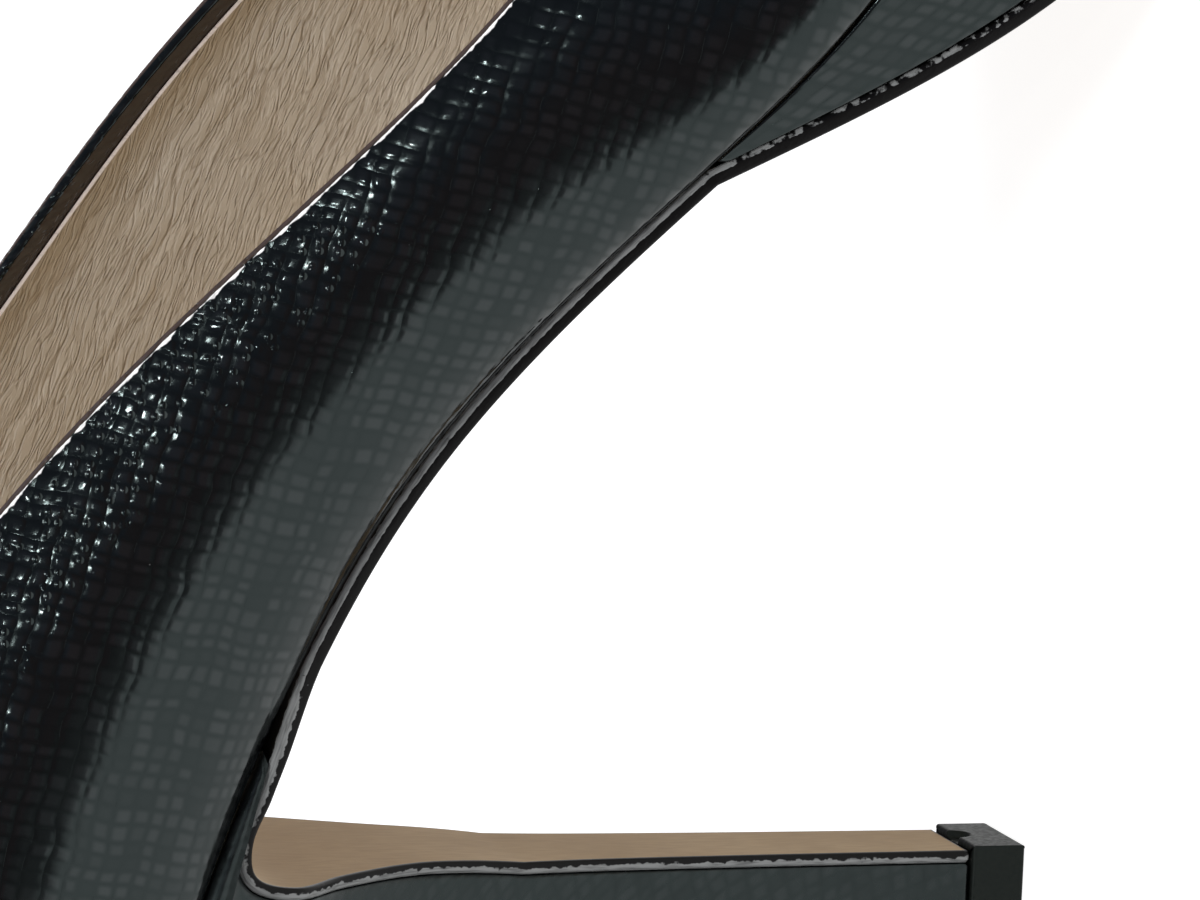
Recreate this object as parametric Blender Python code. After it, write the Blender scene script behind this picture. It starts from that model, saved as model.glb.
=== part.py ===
# Covered platform pump for the right foot, standing on its top piece and forefoot.
# Metres, +Z up, +X towards the toe, +Y towards the inner side of the foot.
# The origin is on the ground under the middle of the top piece.

import bmesh
import bpy
import numpy as np

MM = 0.001

# Last and stance
LAST_LENGTH = 232.0 * MM        # heel back to toe, measured level
BALL_WIDTH = 74.0 * MM          # across the feather line at the ball
SEAT_WIDTH = 46.6 * MM          # across the feather line at the heel seat
HEEL_HEIGHT = 92.0 * MM         # ground to the feather line at the heel back
BALL_LIFT = 20.6 * MM           # ground to the feather line at the ball
TOE_SPRING = 10.0 * MM          # rise of the sole's end above the ground

# Upper
UPPER_WALL = 1.8 * MM
BACK_HEIGHT = 55.5 * MM         # feather line to topline at the heel back
THROAT_HEIGHT = 28.4 * MM       # feather line to topline at the throat
VAMP_LENGTH = 63.0 * MM         # toe to throat, measured level

# Bottom
GAP = 0.3 * MM                  # between pieces that touch
INSOLE_THICKNESS = 2.6 * MM
SOLE_THICKNESS = 1.5 * MM
FLAT_START = 0.634              # shares of the last's length where the sole lies flat
FLAT_END = 0.755
PLATFORM_START = 0.470          # share of the last's length where the sole leaves the upper
PLATFORM_OPENING = 0.9          # how fast the wedge opens there
PLATFORM_EDGE = 0.4 * MM        # thickness at which the wedge begins
TOE_RISE_SHARE = 0.8            # part of the toe spring that the feather line follows
TOE_SPRING_POWER = 1.8          # how late the toe spring starts to rise
BLUNT_END = 0.2 * MM            # the slabs stop this far short of the outline's point

# Heel
TIP_SETBACK = 39.0 * MM         # heel back to the middle of the top piece
TIP_LENGTH = 12.0 * MM
TIP_WIDTH = 10.2 * MM
TIP_HEIGHT = 5.0 * MM
TIP_LIP = 0.11 * MM             # top piece proud of the flap
TIP_SWELL = 0.1 * MM            # its sides over its front corners
HEEL_FRONT = 0.281              # share of the last's length where the sole turns into the flap
BREAST_STRAIGHT = 0.637         # share of the breast's height that is straight
FLAP_START_REACH = 1.35         # handles of the turn into the flap, as shares of its reach and rise
FLAP_START_RISE = 0.86
FLAP_END_REACH = 0.133
FLAP_END_RISE = 1.113
FLAP_JOIN = 0.10                # share of the flap's length over which its width leaves the sole's

# Feather line seen from the side: shares of the last's length and of the drop from seat to ball
PROFILE_COLUMNS = ("along", "rise")
PROFILE_ROWS = (
    (0.000, 1.000),
    (0.108, 0.940),
    (0.194, 0.854),
    (0.280, 0.737),
    (0.366, 0.581),
    (0.453, 0.347),
    (0.509, 0.186),
    (0.560, 0.080),
    (0.625, 0.015),
    (0.711, 0.000),
)

# Stations round the last, heel to toe. along: share of the last's length. lateral, medial: feather line
# from the middle, as shares of the local width. rim: place along the collar, as a share of the way to the
# throat. rim_lateral, rim_medial: topline from the middle. lateral_up, medial_up: topline above the
# feather line, as shares of the local height. The last four are the handles of the wall's curve, as
# shares of its chord: out and up at the foot, out and down at the rim.
LAST_COLUMNS = ("along", "lateral", "medial", "rim", "rim_lateral", "rim_medial", "lateral_up",
                "medial_up", "foot_out", "foot_up", "rim_out", "rim_down")
LAST_ROWS = (
    (0.000, 0.000, 0.000, 0.030, 0.000, 0.000, 1.000, 1.000, 0.110, 0.24, 0.170, 0.48),
    (0.028, 0.325, 0.325, 0.054, 0.240, 0.240, 0.995, 0.995, 0.110, 0.24, 0.170, 0.48),
    (0.103, 0.500, 0.500, 0.160, 0.398, 0.395, 0.908, 0.935, 0.125, 0.21, 0.190, 0.50),
    (0.207, 0.456, 0.450, 0.337, 0.412, 0.410, 0.790, 0.846, 0.160, 0.18, 0.220, 0.50),
    (0.323, 0.390, 0.357, 0.521, 0.408, 0.410, 0.768, 0.852, 0.190, 0.16, 0.235, 0.50),
    (0.422, 0.385, 0.305, 0.663, 0.392, 0.396, 0.860, 1.090, 0.180, 0.16, 0.240, 0.48),
    (0.517, 0.437, 0.335, 0.787, 0.352, 0.370, 0.912, 1.120, 0.135, 0.22, 0.250, 0.42),
    (0.616, 0.505, 0.440, 0.888, 0.293, 0.322, 0.922, 1.038, 0.095, 0.30, 0.290, 0.27),
    (0.716, 0.500, 0.493, 0.953, 0.190, 0.230, 0.940, 0.960, 0.070, 0.38, 0.350, 0.12),
    (0.819, 0.419, 0.476, 0.985, 0.095, 0.140, 0.970, 0.975, 0.055, 0.39, 0.440, 0.04),
    (0.905, 0.290, 0.412, 0.996, 0.040, 0.082, 0.992, 0.992, 0.045, 0.33, 0.490, 0.02),
    (0.970, 0.108, 0.285, 0.999, 0.005, 0.045, 0.999, 0.999, 0.035, 0.27, 0.510, 0.015),
    (1.000, -0.100, 0.100, 1.000, -0.020, 0.020, 1.000, 1.000, 0.030, 0.24, 0.510, 0.015),
)

# Places along the last, as shares of its length, where the shares turn from the seat's width to the
# ball's, and from the back's height to the throat's
WIDTH_TURN = (0.25, 0.55)
HEIGHT_TURN = (0.05, 0.60)

# Heel, from the sole down to the top piece. down: share of the flap's length. front, side: half widths at
# the breast's edge and at the fullest place, as shares of half the seat's width. back: share of the way
# down the back's curve.
HEEL_COLUMNS = ("down", "front", "side", "back")
HEEL_ROWS = (
    (0.00, 0.900, 1.000, 0.00),
    (0.08, 0.900, 1.000, 0.00),
    (0.13, 0.892, 1.000, 0.00),
    (0.18, 0.812, 0.990, 0.03),
    (0.23, 0.794, 0.950, 0.07),
    (0.28, 0.762, 0.870, 0.13),
    (0.34, 0.562, 0.715, 0.22),
    (0.45, 0.350, 0.500, 0.39),
    (0.62, 0.253, 0.325, 0.62),
    (0.80, 0.225, 0.256, 0.815),
    (1.00, 0.210, 0.215, 1.00),
)
BACK_START_REACH = 0.38         # handles of the back's curve, as shares of its height
BACK_START_LEAN = 0.017
BACK_END_REACH = 0.48
BACK_END_LEAN = 0.032
HEEL_FULLEST = 0.45             # where a heel section is fullest, as a share of its depth
HEEL_EDGE = 0.4 * MM            # thickness of the heel's front edge under the seat
HEEL_TIP_STEP = 0.2 * MM        # heel's end inside the top piece's outline

# How finely the lofts are cut
UPPER_STEPS_ROUND = 84
UPPER_STEPS_UP = 14
ARCH_STEPS = 24
TOE_STEPS = 12
FLAP_STEPS = 22
SIDE_STEPS = 14

PATENT = ("patent_leather", (0.020, 0.024, 0.026), 0.16, 0.0)
SOCK = ("lining_leather", (0.42, 0.34, 0.25), 0.55, 0.0)
COVER = ("heel_cover", (0.030, 0.038, 0.038), 0.38, 0.0)
SOLE = ("sole_leather", (0.27, 0.20, 0.14), 0.50, 0.0)
TOP_PIECE = ("top_piece", (0.024, 0.028, 0.026), 0.42, 0.0)


def columns(names, rows):
    """One array for each named column of a table."""
    return dict(zip(names, np.array(rows, dtype=float).T))


def spline(knots, values, at, end_slope=None):
    """Cubic curve through the values, smooth to the second derivative, with free or given end slope."""
    step = np.diff(knots)
    slope = np.diff(values) / step
    count = len(knots)
    system = np.zeros((count, count))
    wanted = np.zeros(count)
    system[0, 0:2] = (2.0, 1.0)
    wanted[0] = 3.0 * slope[0]
    for row in range(1, count - 1):
        system[row, row - 1] = step[row]
        system[row, row] = 2.0 * (step[row - 1] + step[row])
        system[row, row + 1] = step[row - 1]
        wanted[row] = 3.0 * (step[row] * slope[row - 1] + step[row - 1] * slope[row])
    if end_slope is None:
        system[-1, -2:] = (1.0, 2.0)
        wanted[-1] = 3.0 * slope[-1]
    else:
        system[-1, -1] = 1.0
        wanted[-1] = end_slope
    tangent = np.linalg.solve(system, wanted)
    return hermite(knots, values, tangent, at)


def closed_spline(knots, values, at):
    """The same curve round a closed line. The last knot is the first again, one turn on."""
    turn = knots[-1] - knots[0]
    wrapped_knots = np.concatenate((knots[:-1] - turn, knots[:-1], knots + turn))
    wrapped = np.concatenate((values[:-1], values[:-1], values))
    return spline(wrapped_knots, wrapped, at)


def monotone(knots, values, at):
    """Cubic curve through the values that never overshoots them."""
    slope = np.diff(values) / np.diff(knots)
    tangent = np.zeros(len(knots))
    tangent[0] = slope[0]
    tangent[-1] = slope[-1]
    same_way = slope[:-1] * slope[1:] > 0.0
    safe = np.where(same_way, slope[:-1] + slope[1:], 1.0)
    tangent[1:-1] = np.where(same_way, 2.0 * slope[:-1] * slope[1:] / safe, 0.0)
    return hermite(knots, values, tangent, at)


def hermite(knots, values, tangent, at):
    """Cubic pieces between knots, from the values and slopes there."""
    at = np.clip(np.asarray(at, dtype=float), knots[0], knots[-1])
    left = np.clip(np.searchsorted(knots, at, side="right") - 1, 0, len(knots) - 2)
    step = knots[left + 1] - knots[left]
    t = (at - knots[left]) / step
    return (values[left] * (1.0 + 2.0 * t) * (1.0 - t) ** 2
            + tangent[left] * step * t * (1.0 - t) ** 2
            + values[left + 1] * (3.0 - 2.0 * t) * t ** 2
            + tangent[left + 1] * step * (t - 1.0) * t ** 2)


def smooth_step(t):
    t = np.clip(t, 0.0, 1.0)
    return t * t * (3.0 - 2.0 * t)


def bezier(start, start_handle, end_handle, end, t):
    t = t[:, None]
    return (start * (1.0 - t) ** 3 + 3.0 * start_handle * t * (1.0 - t) ** 2
            + 3.0 * end_handle * t ** 2 * (1.0 - t) + end * t ** 3)


def toe_spring(x):
    """Rise of the sole in front of its flat part."""
    start = FLAT_END * LAST_LENGTH
    return TOE_SPRING * np.clip((x - start) / (LAST_LENGTH - start), 0.0, 1.0) ** TOE_SPRING_POWER


def feather_height(x):
    """Height of the upper's lower edge, x measured from the heel back."""
    profile = columns(PROFILE_COLUMNS, PROFILE_ROWS)
    rise = spline(profile["along"], profile["rise"], x / LAST_LENGTH, end_slope=0.0)
    return BALL_LIFT + (HEEL_HEIGHT - BALL_LIFT) * rise + TOE_RISE_SHARE * toe_spring(x)


def platform_share(x):
    """0 where the sole lies under the upper, 1 where it lies on the ground."""
    start = PLATFORM_START * LAST_LENGTH
    end = FLAT_START * LAST_LENGTH
    t = np.clip((x - start) / (end - start), 0.0, 1.0)
    return smooth_step(t) + PLATFORM_OPENING * t * (1.0 - t) ** 2


def sole_top_height(x):
    """Upper face of the sole, from the toe to the front of the heel."""
    share = platform_share(x)
    under_upper = feather_height(x) - GAP
    return (1.0 - share) * under_upper + share * (SOLE_THICKNESS + toe_spring(x))


def local_width(along):
    """Width that the shares of a station follow: the seat's behind, the ball's in front."""
    share = smooth_step((along - WIDTH_TURN[0]) / (WIDTH_TURN[1] - WIDTH_TURN[0]))
    return SEAT_WIDTH * (1.0 - share) + BALL_WIDTH * share


def local_height(along):
    """Height that the topline's shares follow: the back's behind, the throat's in front."""
    share = smooth_step((along - HEIGHT_TURN[0]) / (HEIGHT_TURN[1] - HEIGHT_TURN[0]))
    return BACK_HEIGHT * (1.0 - share) + THROAT_HEIGHT * share


def around(lateral_values, medial_values):
    """A column's values once round the shoe, starting and ending at the heel back."""
    return np.concatenate((lateral_values, medial_values[-2::-1]))


def outline_tables():
    """Feather line, topline and handles at the stations, once round, with their distance round."""
    last = columns(LAST_COLUMNS, LAST_ROWS)
    width = local_width(last["along"])
    height = local_height(last["along"])
    foot_x = last["along"] * LAST_LENGTH
    rim_x = last["rim"] * (LAST_LENGTH - VAMP_LENGTH)
    rim_feather = feather_height(rim_x)
    plan = np.stack((around(foot_x, foot_x),
                     around(-last["lateral"] * width, last["medial"] * width)), axis=1)
    rim = np.stack((around(rim_x, rim_x),
                    around(-last["rim_lateral"] * width, last["rim_medial"] * width),
                    around(rim_feather + last["lateral_up"] * height,
                           rim_feather + last["medial_up"] * height)), axis=1)
    handles = np.stack([around(last[name], last[name])
                        for name in ("foot_out", "foot_up", "rim_out", "rim_down")], axis=1)
    step = np.linalg.norm(np.diff(plan, axis=0), axis=1)
    distance = np.concatenate(((0.0,), np.cumsum(step)))
    return distance / distance[-1], plan, rim, handles


def ride_round(table, knots, turn):
    """Each column of a table followed round the shoe."""
    return np.stack([closed_spline(knots, column, turn) for column in table.T], axis=1)


def outward(line):
    """Level unit normals of a closed line that runs from the heel along the lateral side."""
    ahead = np.roll(line[:, :2], -1, axis=0)
    behind = np.roll(line[:, :2], 1, axis=0)
    run = ahead - behind
    run /= np.linalg.norm(run, axis=1)[:, None]
    return np.stack((run[:, 1], -run[:, 0], np.zeros(len(run))), axis=1)


def wall_curves(steps_round, steps_up):
    """Outer face of the upper: for each place round the last, a curve from feather line to topline."""
    knots, plan, rim, handles = outline_tables()
    turn = np.arange(steps_round) / steps_round
    foot_plan = ride_round(plan, knots, turn)
    foot = np.column_stack((foot_plan, feather_height(foot_plan[:, 0])))
    top = ride_round(rim, knots, turn)
    reach = ride_round(handles, knots, turn)
    chord = np.linalg.norm(top - foot, axis=1)[:, None]
    up = np.array((0.0, 0.0, 1.0))
    foot_handle = foot + chord * (reach[:, 0:1] * outward(foot) + reach[:, 1:2] * up)
    top_handle = top + chord * (reach[:, 2:3] * outward(top) - reach[:, 3:4] * up)
    t = np.linspace(0.0, 1.0, steps_up + 1)
    return np.stack([bezier(*ends, t) for ends in zip(foot, foot_handle, top_handle, top)])


def grid_normals(grid):
    """Outward normals of a surface that is closed round its first direction."""
    along = np.roll(grid, -1, axis=0) - np.roll(grid, 1, axis=0)
    upward = np.gradient(grid, axis=1)
    normal = np.cross(along, upward)
    return normal / np.linalg.norm(normal, axis=2)[:, :, None]


def feather_halves(inset=0.0):
    """Dense feather line moved in by an inset, as distances from the middle on each side."""
    knots, plan, _, _ = outline_tables()
    line = ride_round(plan, knots, np.arange(720) / 720)
    line = line - inset * outward(line)[:, :2]
    toe = int(np.argmax(line[:, 0]))
    heel = int(np.argmin(np.roll(line[:, 0], -toe)))
    turned = np.roll(line, -toe, axis=0)
    medial = turned[:heel + 1][::-1]
    lateral = turned[heel:]
    return lateral, medial


def half_widths(x, inset=0.0):
    """Lateral and medial edge of the feather line at x, as y."""
    lateral, medial = feather_halves(inset)
    return np.interp(x, lateral[:, 0], lateral[:, 1]), np.interp(x, medial[:, 0], medial[:, 1])


def eased_steps(start, end, count):
    """Places from start to end, closer together towards both ends."""
    return start + (end - start) * (1.0 - np.cos(np.linspace(0.0, np.pi, count + 1))) / 2.0


def flap_line():
    """Upper face of the sole from the arch round into the breast and down to the top piece."""
    start_x = HEEL_FRONT * LAST_LENGTH
    near = sole_top_height(np.array((start_x, start_x - MM)))
    start = np.array((start_x, near[0]))
    back_slope = (near[1] - near[0]) / MM
    breast_x = TIP_SETBACK + TIP_LENGTH / 2.0 - TIP_LIP - SOLE_THICKNESS
    bottom = np.array((breast_x, TIP_HEIGHT + GAP))
    turn_end = np.array((breast_x, bottom[1] + BREAST_STRAIGHT * (start[1] - bottom[1])))
    reach = start_x - breast_x
    rise = start[1] - turn_end[1]
    start_handle = start + FLAP_START_REACH * reach * np.array((-1.0, FLAP_START_RISE * back_slope))
    end_handle = turn_end + np.array((FLAP_END_REACH * reach, FLAP_END_RISE * rise))
    bend = bezier(start, start_handle, end_handle, turn_end, np.linspace(0.0, 1.0, FLAP_STEPS + 1))
    straight = np.linspace(turn_end, bottom, FLAP_STEPS // 2 + 1)[1:]
    return np.concatenate((bend, straight))


def line_normals(line):
    """Unit normals in the side view, towards the upper and the heel."""
    run = np.gradient(line, axis=0)
    run /= np.linalg.norm(run, axis=1)[:, None]
    return np.stack((run[:, 1], -run[:, 0]), axis=1)


def down_share(line):
    """Distance along a line at each of its points, as a share of its length."""
    step = np.linalg.norm(np.diff(line, axis=0), axis=1)
    distance = np.concatenate(((0.0,), np.cumsum(step)))
    return distance / distance[-1]


def flap_half_widths(down):
    """Half width of the breast and the flap on it."""
    heel = columns(HEEL_COLUMNS, HEEL_ROWS)
    return monotone(heel["down"], heel["front"], down) * SEAT_WIDTH / 2.0


def material(finish):
    name, color, roughness, metallic = finish
    found = bpy.data.materials.get(name)
    if found:
        return found
    made = bpy.data.materials.new(name)
    made.use_nodes = True
    shader = made.node_tree.nodes["Principled BSDF"]
    shader.inputs["Base Color"].default_value = (*color, 1.0)
    shader.inputs["Roughness"].default_value = roughness
    shader.inputs["Metallic"].default_value = metallic
    return made


def solid(name, points, faces, finish, collection):
    """One closed body from points measured from the heel back, with its faces turned outwards."""
    placed = np.asarray(points) - np.array((TIP_SETBACK, 0.0, 0.0))
    mesh = bpy.data.meshes.new(name)
    mesh.from_pydata(placed.tolist(), [], faces)
    shaped = bmesh.new()
    shaped.from_mesh(mesh)
    bmesh.ops.recalc_face_normals(shaped, faces=shaped.faces)
    shaped.to_mesh(mesh)
    shaped.free()
    mesh.shade_smooth()
    mesh.set_sharp_from_angle(angle=0.7)
    mesh.materials.append(material(finish))
    made = bpy.data.objects.new(name, mesh)
    collection.objects.link(made)
    return made


def loft(rings, closed=False):
    """Points and faces of a tube through rings with as many points each.

    Open ends get caps laid across, from each place to the one opposite it.
    """
    rings = np.asarray(rings)
    ring_count, size = rings.shape[:2]
    faces = []
    for ring in range(ring_count if closed else ring_count - 1):
        following = (ring + 1) % ring_count
        for place in range(size):
            beside = (place + 1) % size
            faces.append((ring * size + place, ring * size + beside,
                          following * size + beside, following * size + place))
    if not closed:
        for first in (0, (ring_count - 1) * size):
            for place in range((size - 1) // 2):
                across = (place, place + 1, size - 2 - place, size - 1 - place)
                faces.append(tuple(first + corner for corner in dict.fromkeys(across)))
    return rings.reshape(-1, 3), faces


def slab_rings(top_line, bottom_line, lateral, medial):
    """Four-cornered rings of a slab whose faces are level across."""
    return np.stack([
        np.column_stack((bottom_line[:, 0], lateral, bottom_line[:, 1])),
        np.column_stack((bottom_line[:, 0], medial, bottom_line[:, 1])),
        np.column_stack((top_line[:, 0], medial, top_line[:, 1])),
        np.column_stack((top_line[:, 0], lateral, top_line[:, 1]))], axis=1)


def add_upper(collection):
    outer = wall_curves(UPPER_STEPS_ROUND, UPPER_STEPS_UP)
    inner = outer - UPPER_WALL * grid_normals(outer)
    inner[:, 0, 2] = feather_height(inner[:, 0, 0])
    rings = np.concatenate((outer, inner[:, ::-1]), axis=1)
    points, faces = loft(rings, closed=True)
    return solid("upper", points, faces, PATENT, collection)


def add_insole(collection):
    inset = UPPER_WALL + GAP
    end = inset + BLUNT_END
    x = eased_steps(end, LAST_LENGTH - end, ARCH_STEPS + TOE_STEPS)
    lateral, medial = half_widths(x, inset)
    base = np.column_stack((x, feather_height(x)))
    top = base + np.array((0.0, INSOLE_THICKNESS))
    points, faces = loft(slab_rings(top, base, lateral, medial))
    return solid("insole", points, faces, SOCK, collection)


def add_platform(collection):
    dense = np.linspace(PLATFORM_START * LAST_LENGTH, FLAT_START * LAST_LENGTH, 400)
    thickness = feather_height(dense) - sole_top_height(dense) - 2.0 * GAP
    start = dense[np.argmax(thickness > PLATFORM_EDGE)]
    x = eased_steps(start, LAST_LENGTH - BLUNT_END, ARCH_STEPS + TOE_STEPS)
    lateral, medial = half_widths(x)
    top = np.column_stack((x, feather_height(x) - GAP))
    bottom = np.column_stack((x, sole_top_height(x) + GAP))
    points, faces = loft(slab_rings(top, bottom, lateral, medial))
    return solid("platform", points, faces, PATENT, collection)


def add_outsole(collection):
    flat_start = FLAT_START * LAST_LENGTH
    flat_end = FLAT_END * LAST_LENGTH
    toe = eased_steps(LAST_LENGTH - BLUNT_END, flat_end, TOE_STEPS)
    arch = np.linspace(flat_start, HEEL_FRONT * LAST_LENGTH, ARCH_STEPS + 1)
    ground = np.linspace(flat_end, flat_start, TOE_STEPS // 2 + 1)[1:-1]
    x = np.concatenate((toe, ground, arch))
    under = np.column_stack((x, sole_top_height(x)))
    flap = flap_line()
    top = np.concatenate((under, flap[1:]))
    bottom = top - SOLE_THICKNESS * line_normals(top)
    bottom[-1, 1] = top[-1, 1]
    on_ground = (x >= flat_start - GAP) & (x <= flat_end + GAP)
    bottom[:len(x)][on_ground] = np.column_stack((x[on_ground], np.zeros(on_ground.sum())))
    lateral, medial = half_widths(x)
    half = flap_half_widths(down_share(flap))[1:]
    join = smooth_step(down_share(flap)[1:] / FLAP_JOIN)
    lateral = np.concatenate((lateral, lateral[-1] * (1.0 - join) - half * join))
    medial = np.concatenate((medial, medial[-1] * (1.0 - join) + half * join))
    points, faces = loft(slab_rings(top, bottom, lateral, medial))
    return solid("outsole", points, faces, SOLE, collection)


def half_section(front, side, steps):
    """Half a heel section: share of its depth and half width, from the breast's edge to the back."""
    swell = np.linspace(0.0, 1.0, steps // 2 + 1)
    turn = np.linspace(0.0, np.pi / 2.0, steps // 2 + 1)[1:]
    depth = np.concatenate((HEEL_FULLEST * swell, HEEL_FULLEST + (1.0 - HEEL_FULLEST) * np.sin(turn)))
    half = np.concatenate((front + (side - front) * np.sin(swell * np.pi / 2.0), side * np.cos(turn)))
    return depth, half


def mirrored_ring(x, half_lateral, half_medial, z):
    """A closed section, down its lateral side and up its medial side, meeting at the back."""
    lateral = np.column_stack((x, half_lateral, z))
    medial = np.column_stack((x, half_medial, z))[-2::-1]
    return np.concatenate((lateral, medial))


def heel_back_line(down):
    """Back of the heel from the seat to the top piece, at the flap's shares of length."""
    heel = columns(HEEL_COLUMNS, HEEL_ROWS)
    top = np.array((0.0, feather_height(0.0) - GAP))
    bottom = np.array((TIP_SETBACK - TIP_LENGTH / 2.0 + HEEL_TIP_STEP, TIP_HEIGHT + GAP))
    height = top[1] - bottom[1]
    start_handle = top + height * np.array((BACK_START_LEAN, -BACK_START_REACH))
    end_handle = bottom + height * np.array((-BACK_END_LEAN, BACK_END_REACH))
    return bezier(top, start_handle, end_handle, bottom, monotone(heel["down"], heel["back"], down))


def add_heel(collection):
    heel = columns(HEEL_COLUMNS, HEEL_ROWS)
    flap = flap_line()
    front_line = flap + GAP * line_normals(flap)
    front_line[-1, 1] = flap[-1, 1]
    room = feather_height(front_line[:, 0]) - GAP - front_line[:, 1]
    first = int(np.argmax(room > HEEL_EDGE))
    down = down_share(flap)
    front = flap_half_widths(down)
    side = np.maximum(monotone(heel["down"], heel["side"], down) * SEAT_WIDTH / 2.0, front)
    back_line = heel_back_line(down)
    share, _ = half_section(front[first], side[first], SIDE_STEPS)
    seat_x = front_line[first, 0] * (1.0 - share)
    rings = [mirrored_ring(seat_x, *half_widths(seat_x), feather_height(seat_x) - GAP)]
    for place in range(first + 1, len(flap)):
        share, half = half_section(front[place], side[place], SIDE_STEPS)
        x, z = (front_line[place] + share[:, None] * (back_line[place] - front_line[place])).T
        rings.append(mirrored_ring(x, -half, half, z))
    points, faces = loft(rings)
    return solid("heel", points, faces, COVER, collection)


def add_heel_tip(collection):
    share, half = half_section(TIP_WIDTH / 2.0 - TIP_SWELL, TIP_WIDTH / 2.0, SIDE_STEPS)
    x = TIP_SETBACK + TIP_LENGTH * (0.5 - share)
    rings = [mirrored_ring(x, -half, half, np.full(len(x), height)) for height in (0.0, TIP_HEIGHT)]
    points, faces = loft(rings)
    return solid("heel_tip", points, faces, TOP_PIECE, collection)


def build_shoe():
    for old in list(bpy.data.objects):
        bpy.data.objects.remove(old, do_unlink=True)
    collection = bpy.data.collections.new("pump_shoe")
    bpy.context.scene.collection.children.link(collection)
    add_upper(collection)
    add_insole(collection)
    add_platform(collection)
    add_outsole(collection)
    add_heel(collection)
    add_heel_tip(collection)


build_shoe()
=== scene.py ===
# Covered platform pump for the right foot. Metres, +X to the toe, +Y to the inner side of the foot, +Z up.

import bmesh
import bpy
import numpy as np
from mathutils import Matrix, Vector


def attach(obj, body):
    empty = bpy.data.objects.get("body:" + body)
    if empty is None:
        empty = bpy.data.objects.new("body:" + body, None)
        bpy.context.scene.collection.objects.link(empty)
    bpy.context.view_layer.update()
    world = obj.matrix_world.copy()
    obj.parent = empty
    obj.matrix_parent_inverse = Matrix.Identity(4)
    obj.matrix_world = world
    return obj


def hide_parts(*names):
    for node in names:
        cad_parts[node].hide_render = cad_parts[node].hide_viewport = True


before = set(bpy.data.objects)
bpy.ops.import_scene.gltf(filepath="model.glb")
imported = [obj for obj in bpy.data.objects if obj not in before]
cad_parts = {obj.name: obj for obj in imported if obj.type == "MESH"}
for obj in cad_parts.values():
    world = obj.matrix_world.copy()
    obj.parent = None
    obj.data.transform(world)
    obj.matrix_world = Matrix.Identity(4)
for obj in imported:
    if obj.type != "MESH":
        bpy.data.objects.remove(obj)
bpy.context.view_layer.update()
print("frame loaded with", len(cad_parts), "nodes")

mm = 0.001

# The last: lengths in metres, places along it as shares of its length measured from the heel back
last = {
    "length": 232.0 * mm,
    "ballWidth": 74.0 * mm,
    "seatWidth": 46.6 * mm,
    "heelHeight": 92.0 * mm,        # ground to feather line at the heel back
    "ballLift": 20.6 * mm,          # ground to feather line at the ball
    "toeSpring": 10.0 * mm,
    "backHeight": 55.5 * mm,        # feather line to topline at the heel back
    "throatHeight": 28.4 * mm,
    "vampLength": 63.0 * mm,
    "tipSetback": 39.0 * mm,        # heel back to the middle of the top piece, where the origin is
    "flatStart": 0.634,             # the sole lies flat between these two
    "flatEnd": 0.755,
    "platformStart": 0.470,
    "platformOpening": 0.9,
    "heelFront": 0.281,             # the sole turns into the breast here
    "toeRiseShare": 0.8,
    "toeSpringPower": 1.8,
    "widthTurn": (0.25, 0.55),
    "heightTurn": (0.05, 0.60),
    "gap": 0.3 * mm,
}

profileRows = (                     # along, rise: feather line seen from the side
    (0.000, 1.000), (0.108, 0.940), (0.194, 0.854), (0.280, 0.737), (0.366, 0.581),
    (0.453, 0.347), (0.509, 0.186), (0.560, 0.080), (0.625, 0.015), (0.711, 0.000),
)

# Stations round the last: along; feather line lateral and medial; rim: place along the collar; topline lateral
# and medial; topline height lateral and medial; handles of the wall's curve, out and up at the foot, out and
# down at the rim
stationNames = ("along", "lateral", "medial", "rim", "rimLateral", "rimMedial", "lateralUp", "medialUp",
                "footOut", "footUp", "rimOut", "rimDown")
stationRows = (
    (0.000, 0.000, 0.000, 0.030, 0.000, 0.000, 1.000, 1.000, 0.110, 0.24, 0.170, 0.48),
    (0.028, 0.325, 0.325, 0.054, 0.240, 0.240, 0.995, 0.995, 0.110, 0.24, 0.170, 0.48),
    (0.103, 0.500, 0.500, 0.160, 0.398, 0.395, 0.908, 0.935, 0.125, 0.21, 0.190, 0.50),
    (0.207, 0.456, 0.450, 0.337, 0.412, 0.410, 0.790, 0.846, 0.160, 0.18, 0.220, 0.50),
    (0.323, 0.390, 0.357, 0.521, 0.408, 0.410, 0.768, 0.852, 0.190, 0.16, 0.235, 0.50),
    (0.422, 0.385, 0.305, 0.663, 0.392, 0.396, 0.860, 1.090, 0.180, 0.16, 0.240, 0.48),
    (0.517, 0.437, 0.335, 0.787, 0.352, 0.370, 0.912, 1.120, 0.135, 0.22, 0.250, 0.42),
    (0.616, 0.505, 0.440, 0.888, 0.293, 0.322, 0.922, 1.038, 0.095, 0.30, 0.290, 0.27),
    (0.716, 0.500, 0.493, 0.953, 0.190, 0.230, 0.940, 0.960, 0.070, 0.38, 0.350, 0.12),
    (0.819, 0.419, 0.476, 0.985, 0.095, 0.140, 0.970, 0.975, 0.055, 0.39, 0.440, 0.04),
    (0.905, 0.290, 0.412, 0.996, 0.040, 0.082, 0.992, 0.992, 0.045, 0.33, 0.490, 0.02),
    (0.970, 0.108, 0.285, 0.999, 0.005, 0.045, 0.999, 0.999, 0.035, 0.27, 0.510, 0.015),
    (1.000, -0.100, 0.100, 1.000, -0.020, 0.020, 1.000, 1.000, 0.030, 0.24, 0.510, 0.015),
)
stations = dict(zip(stationNames, np.array(stationRows).T))


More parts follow.
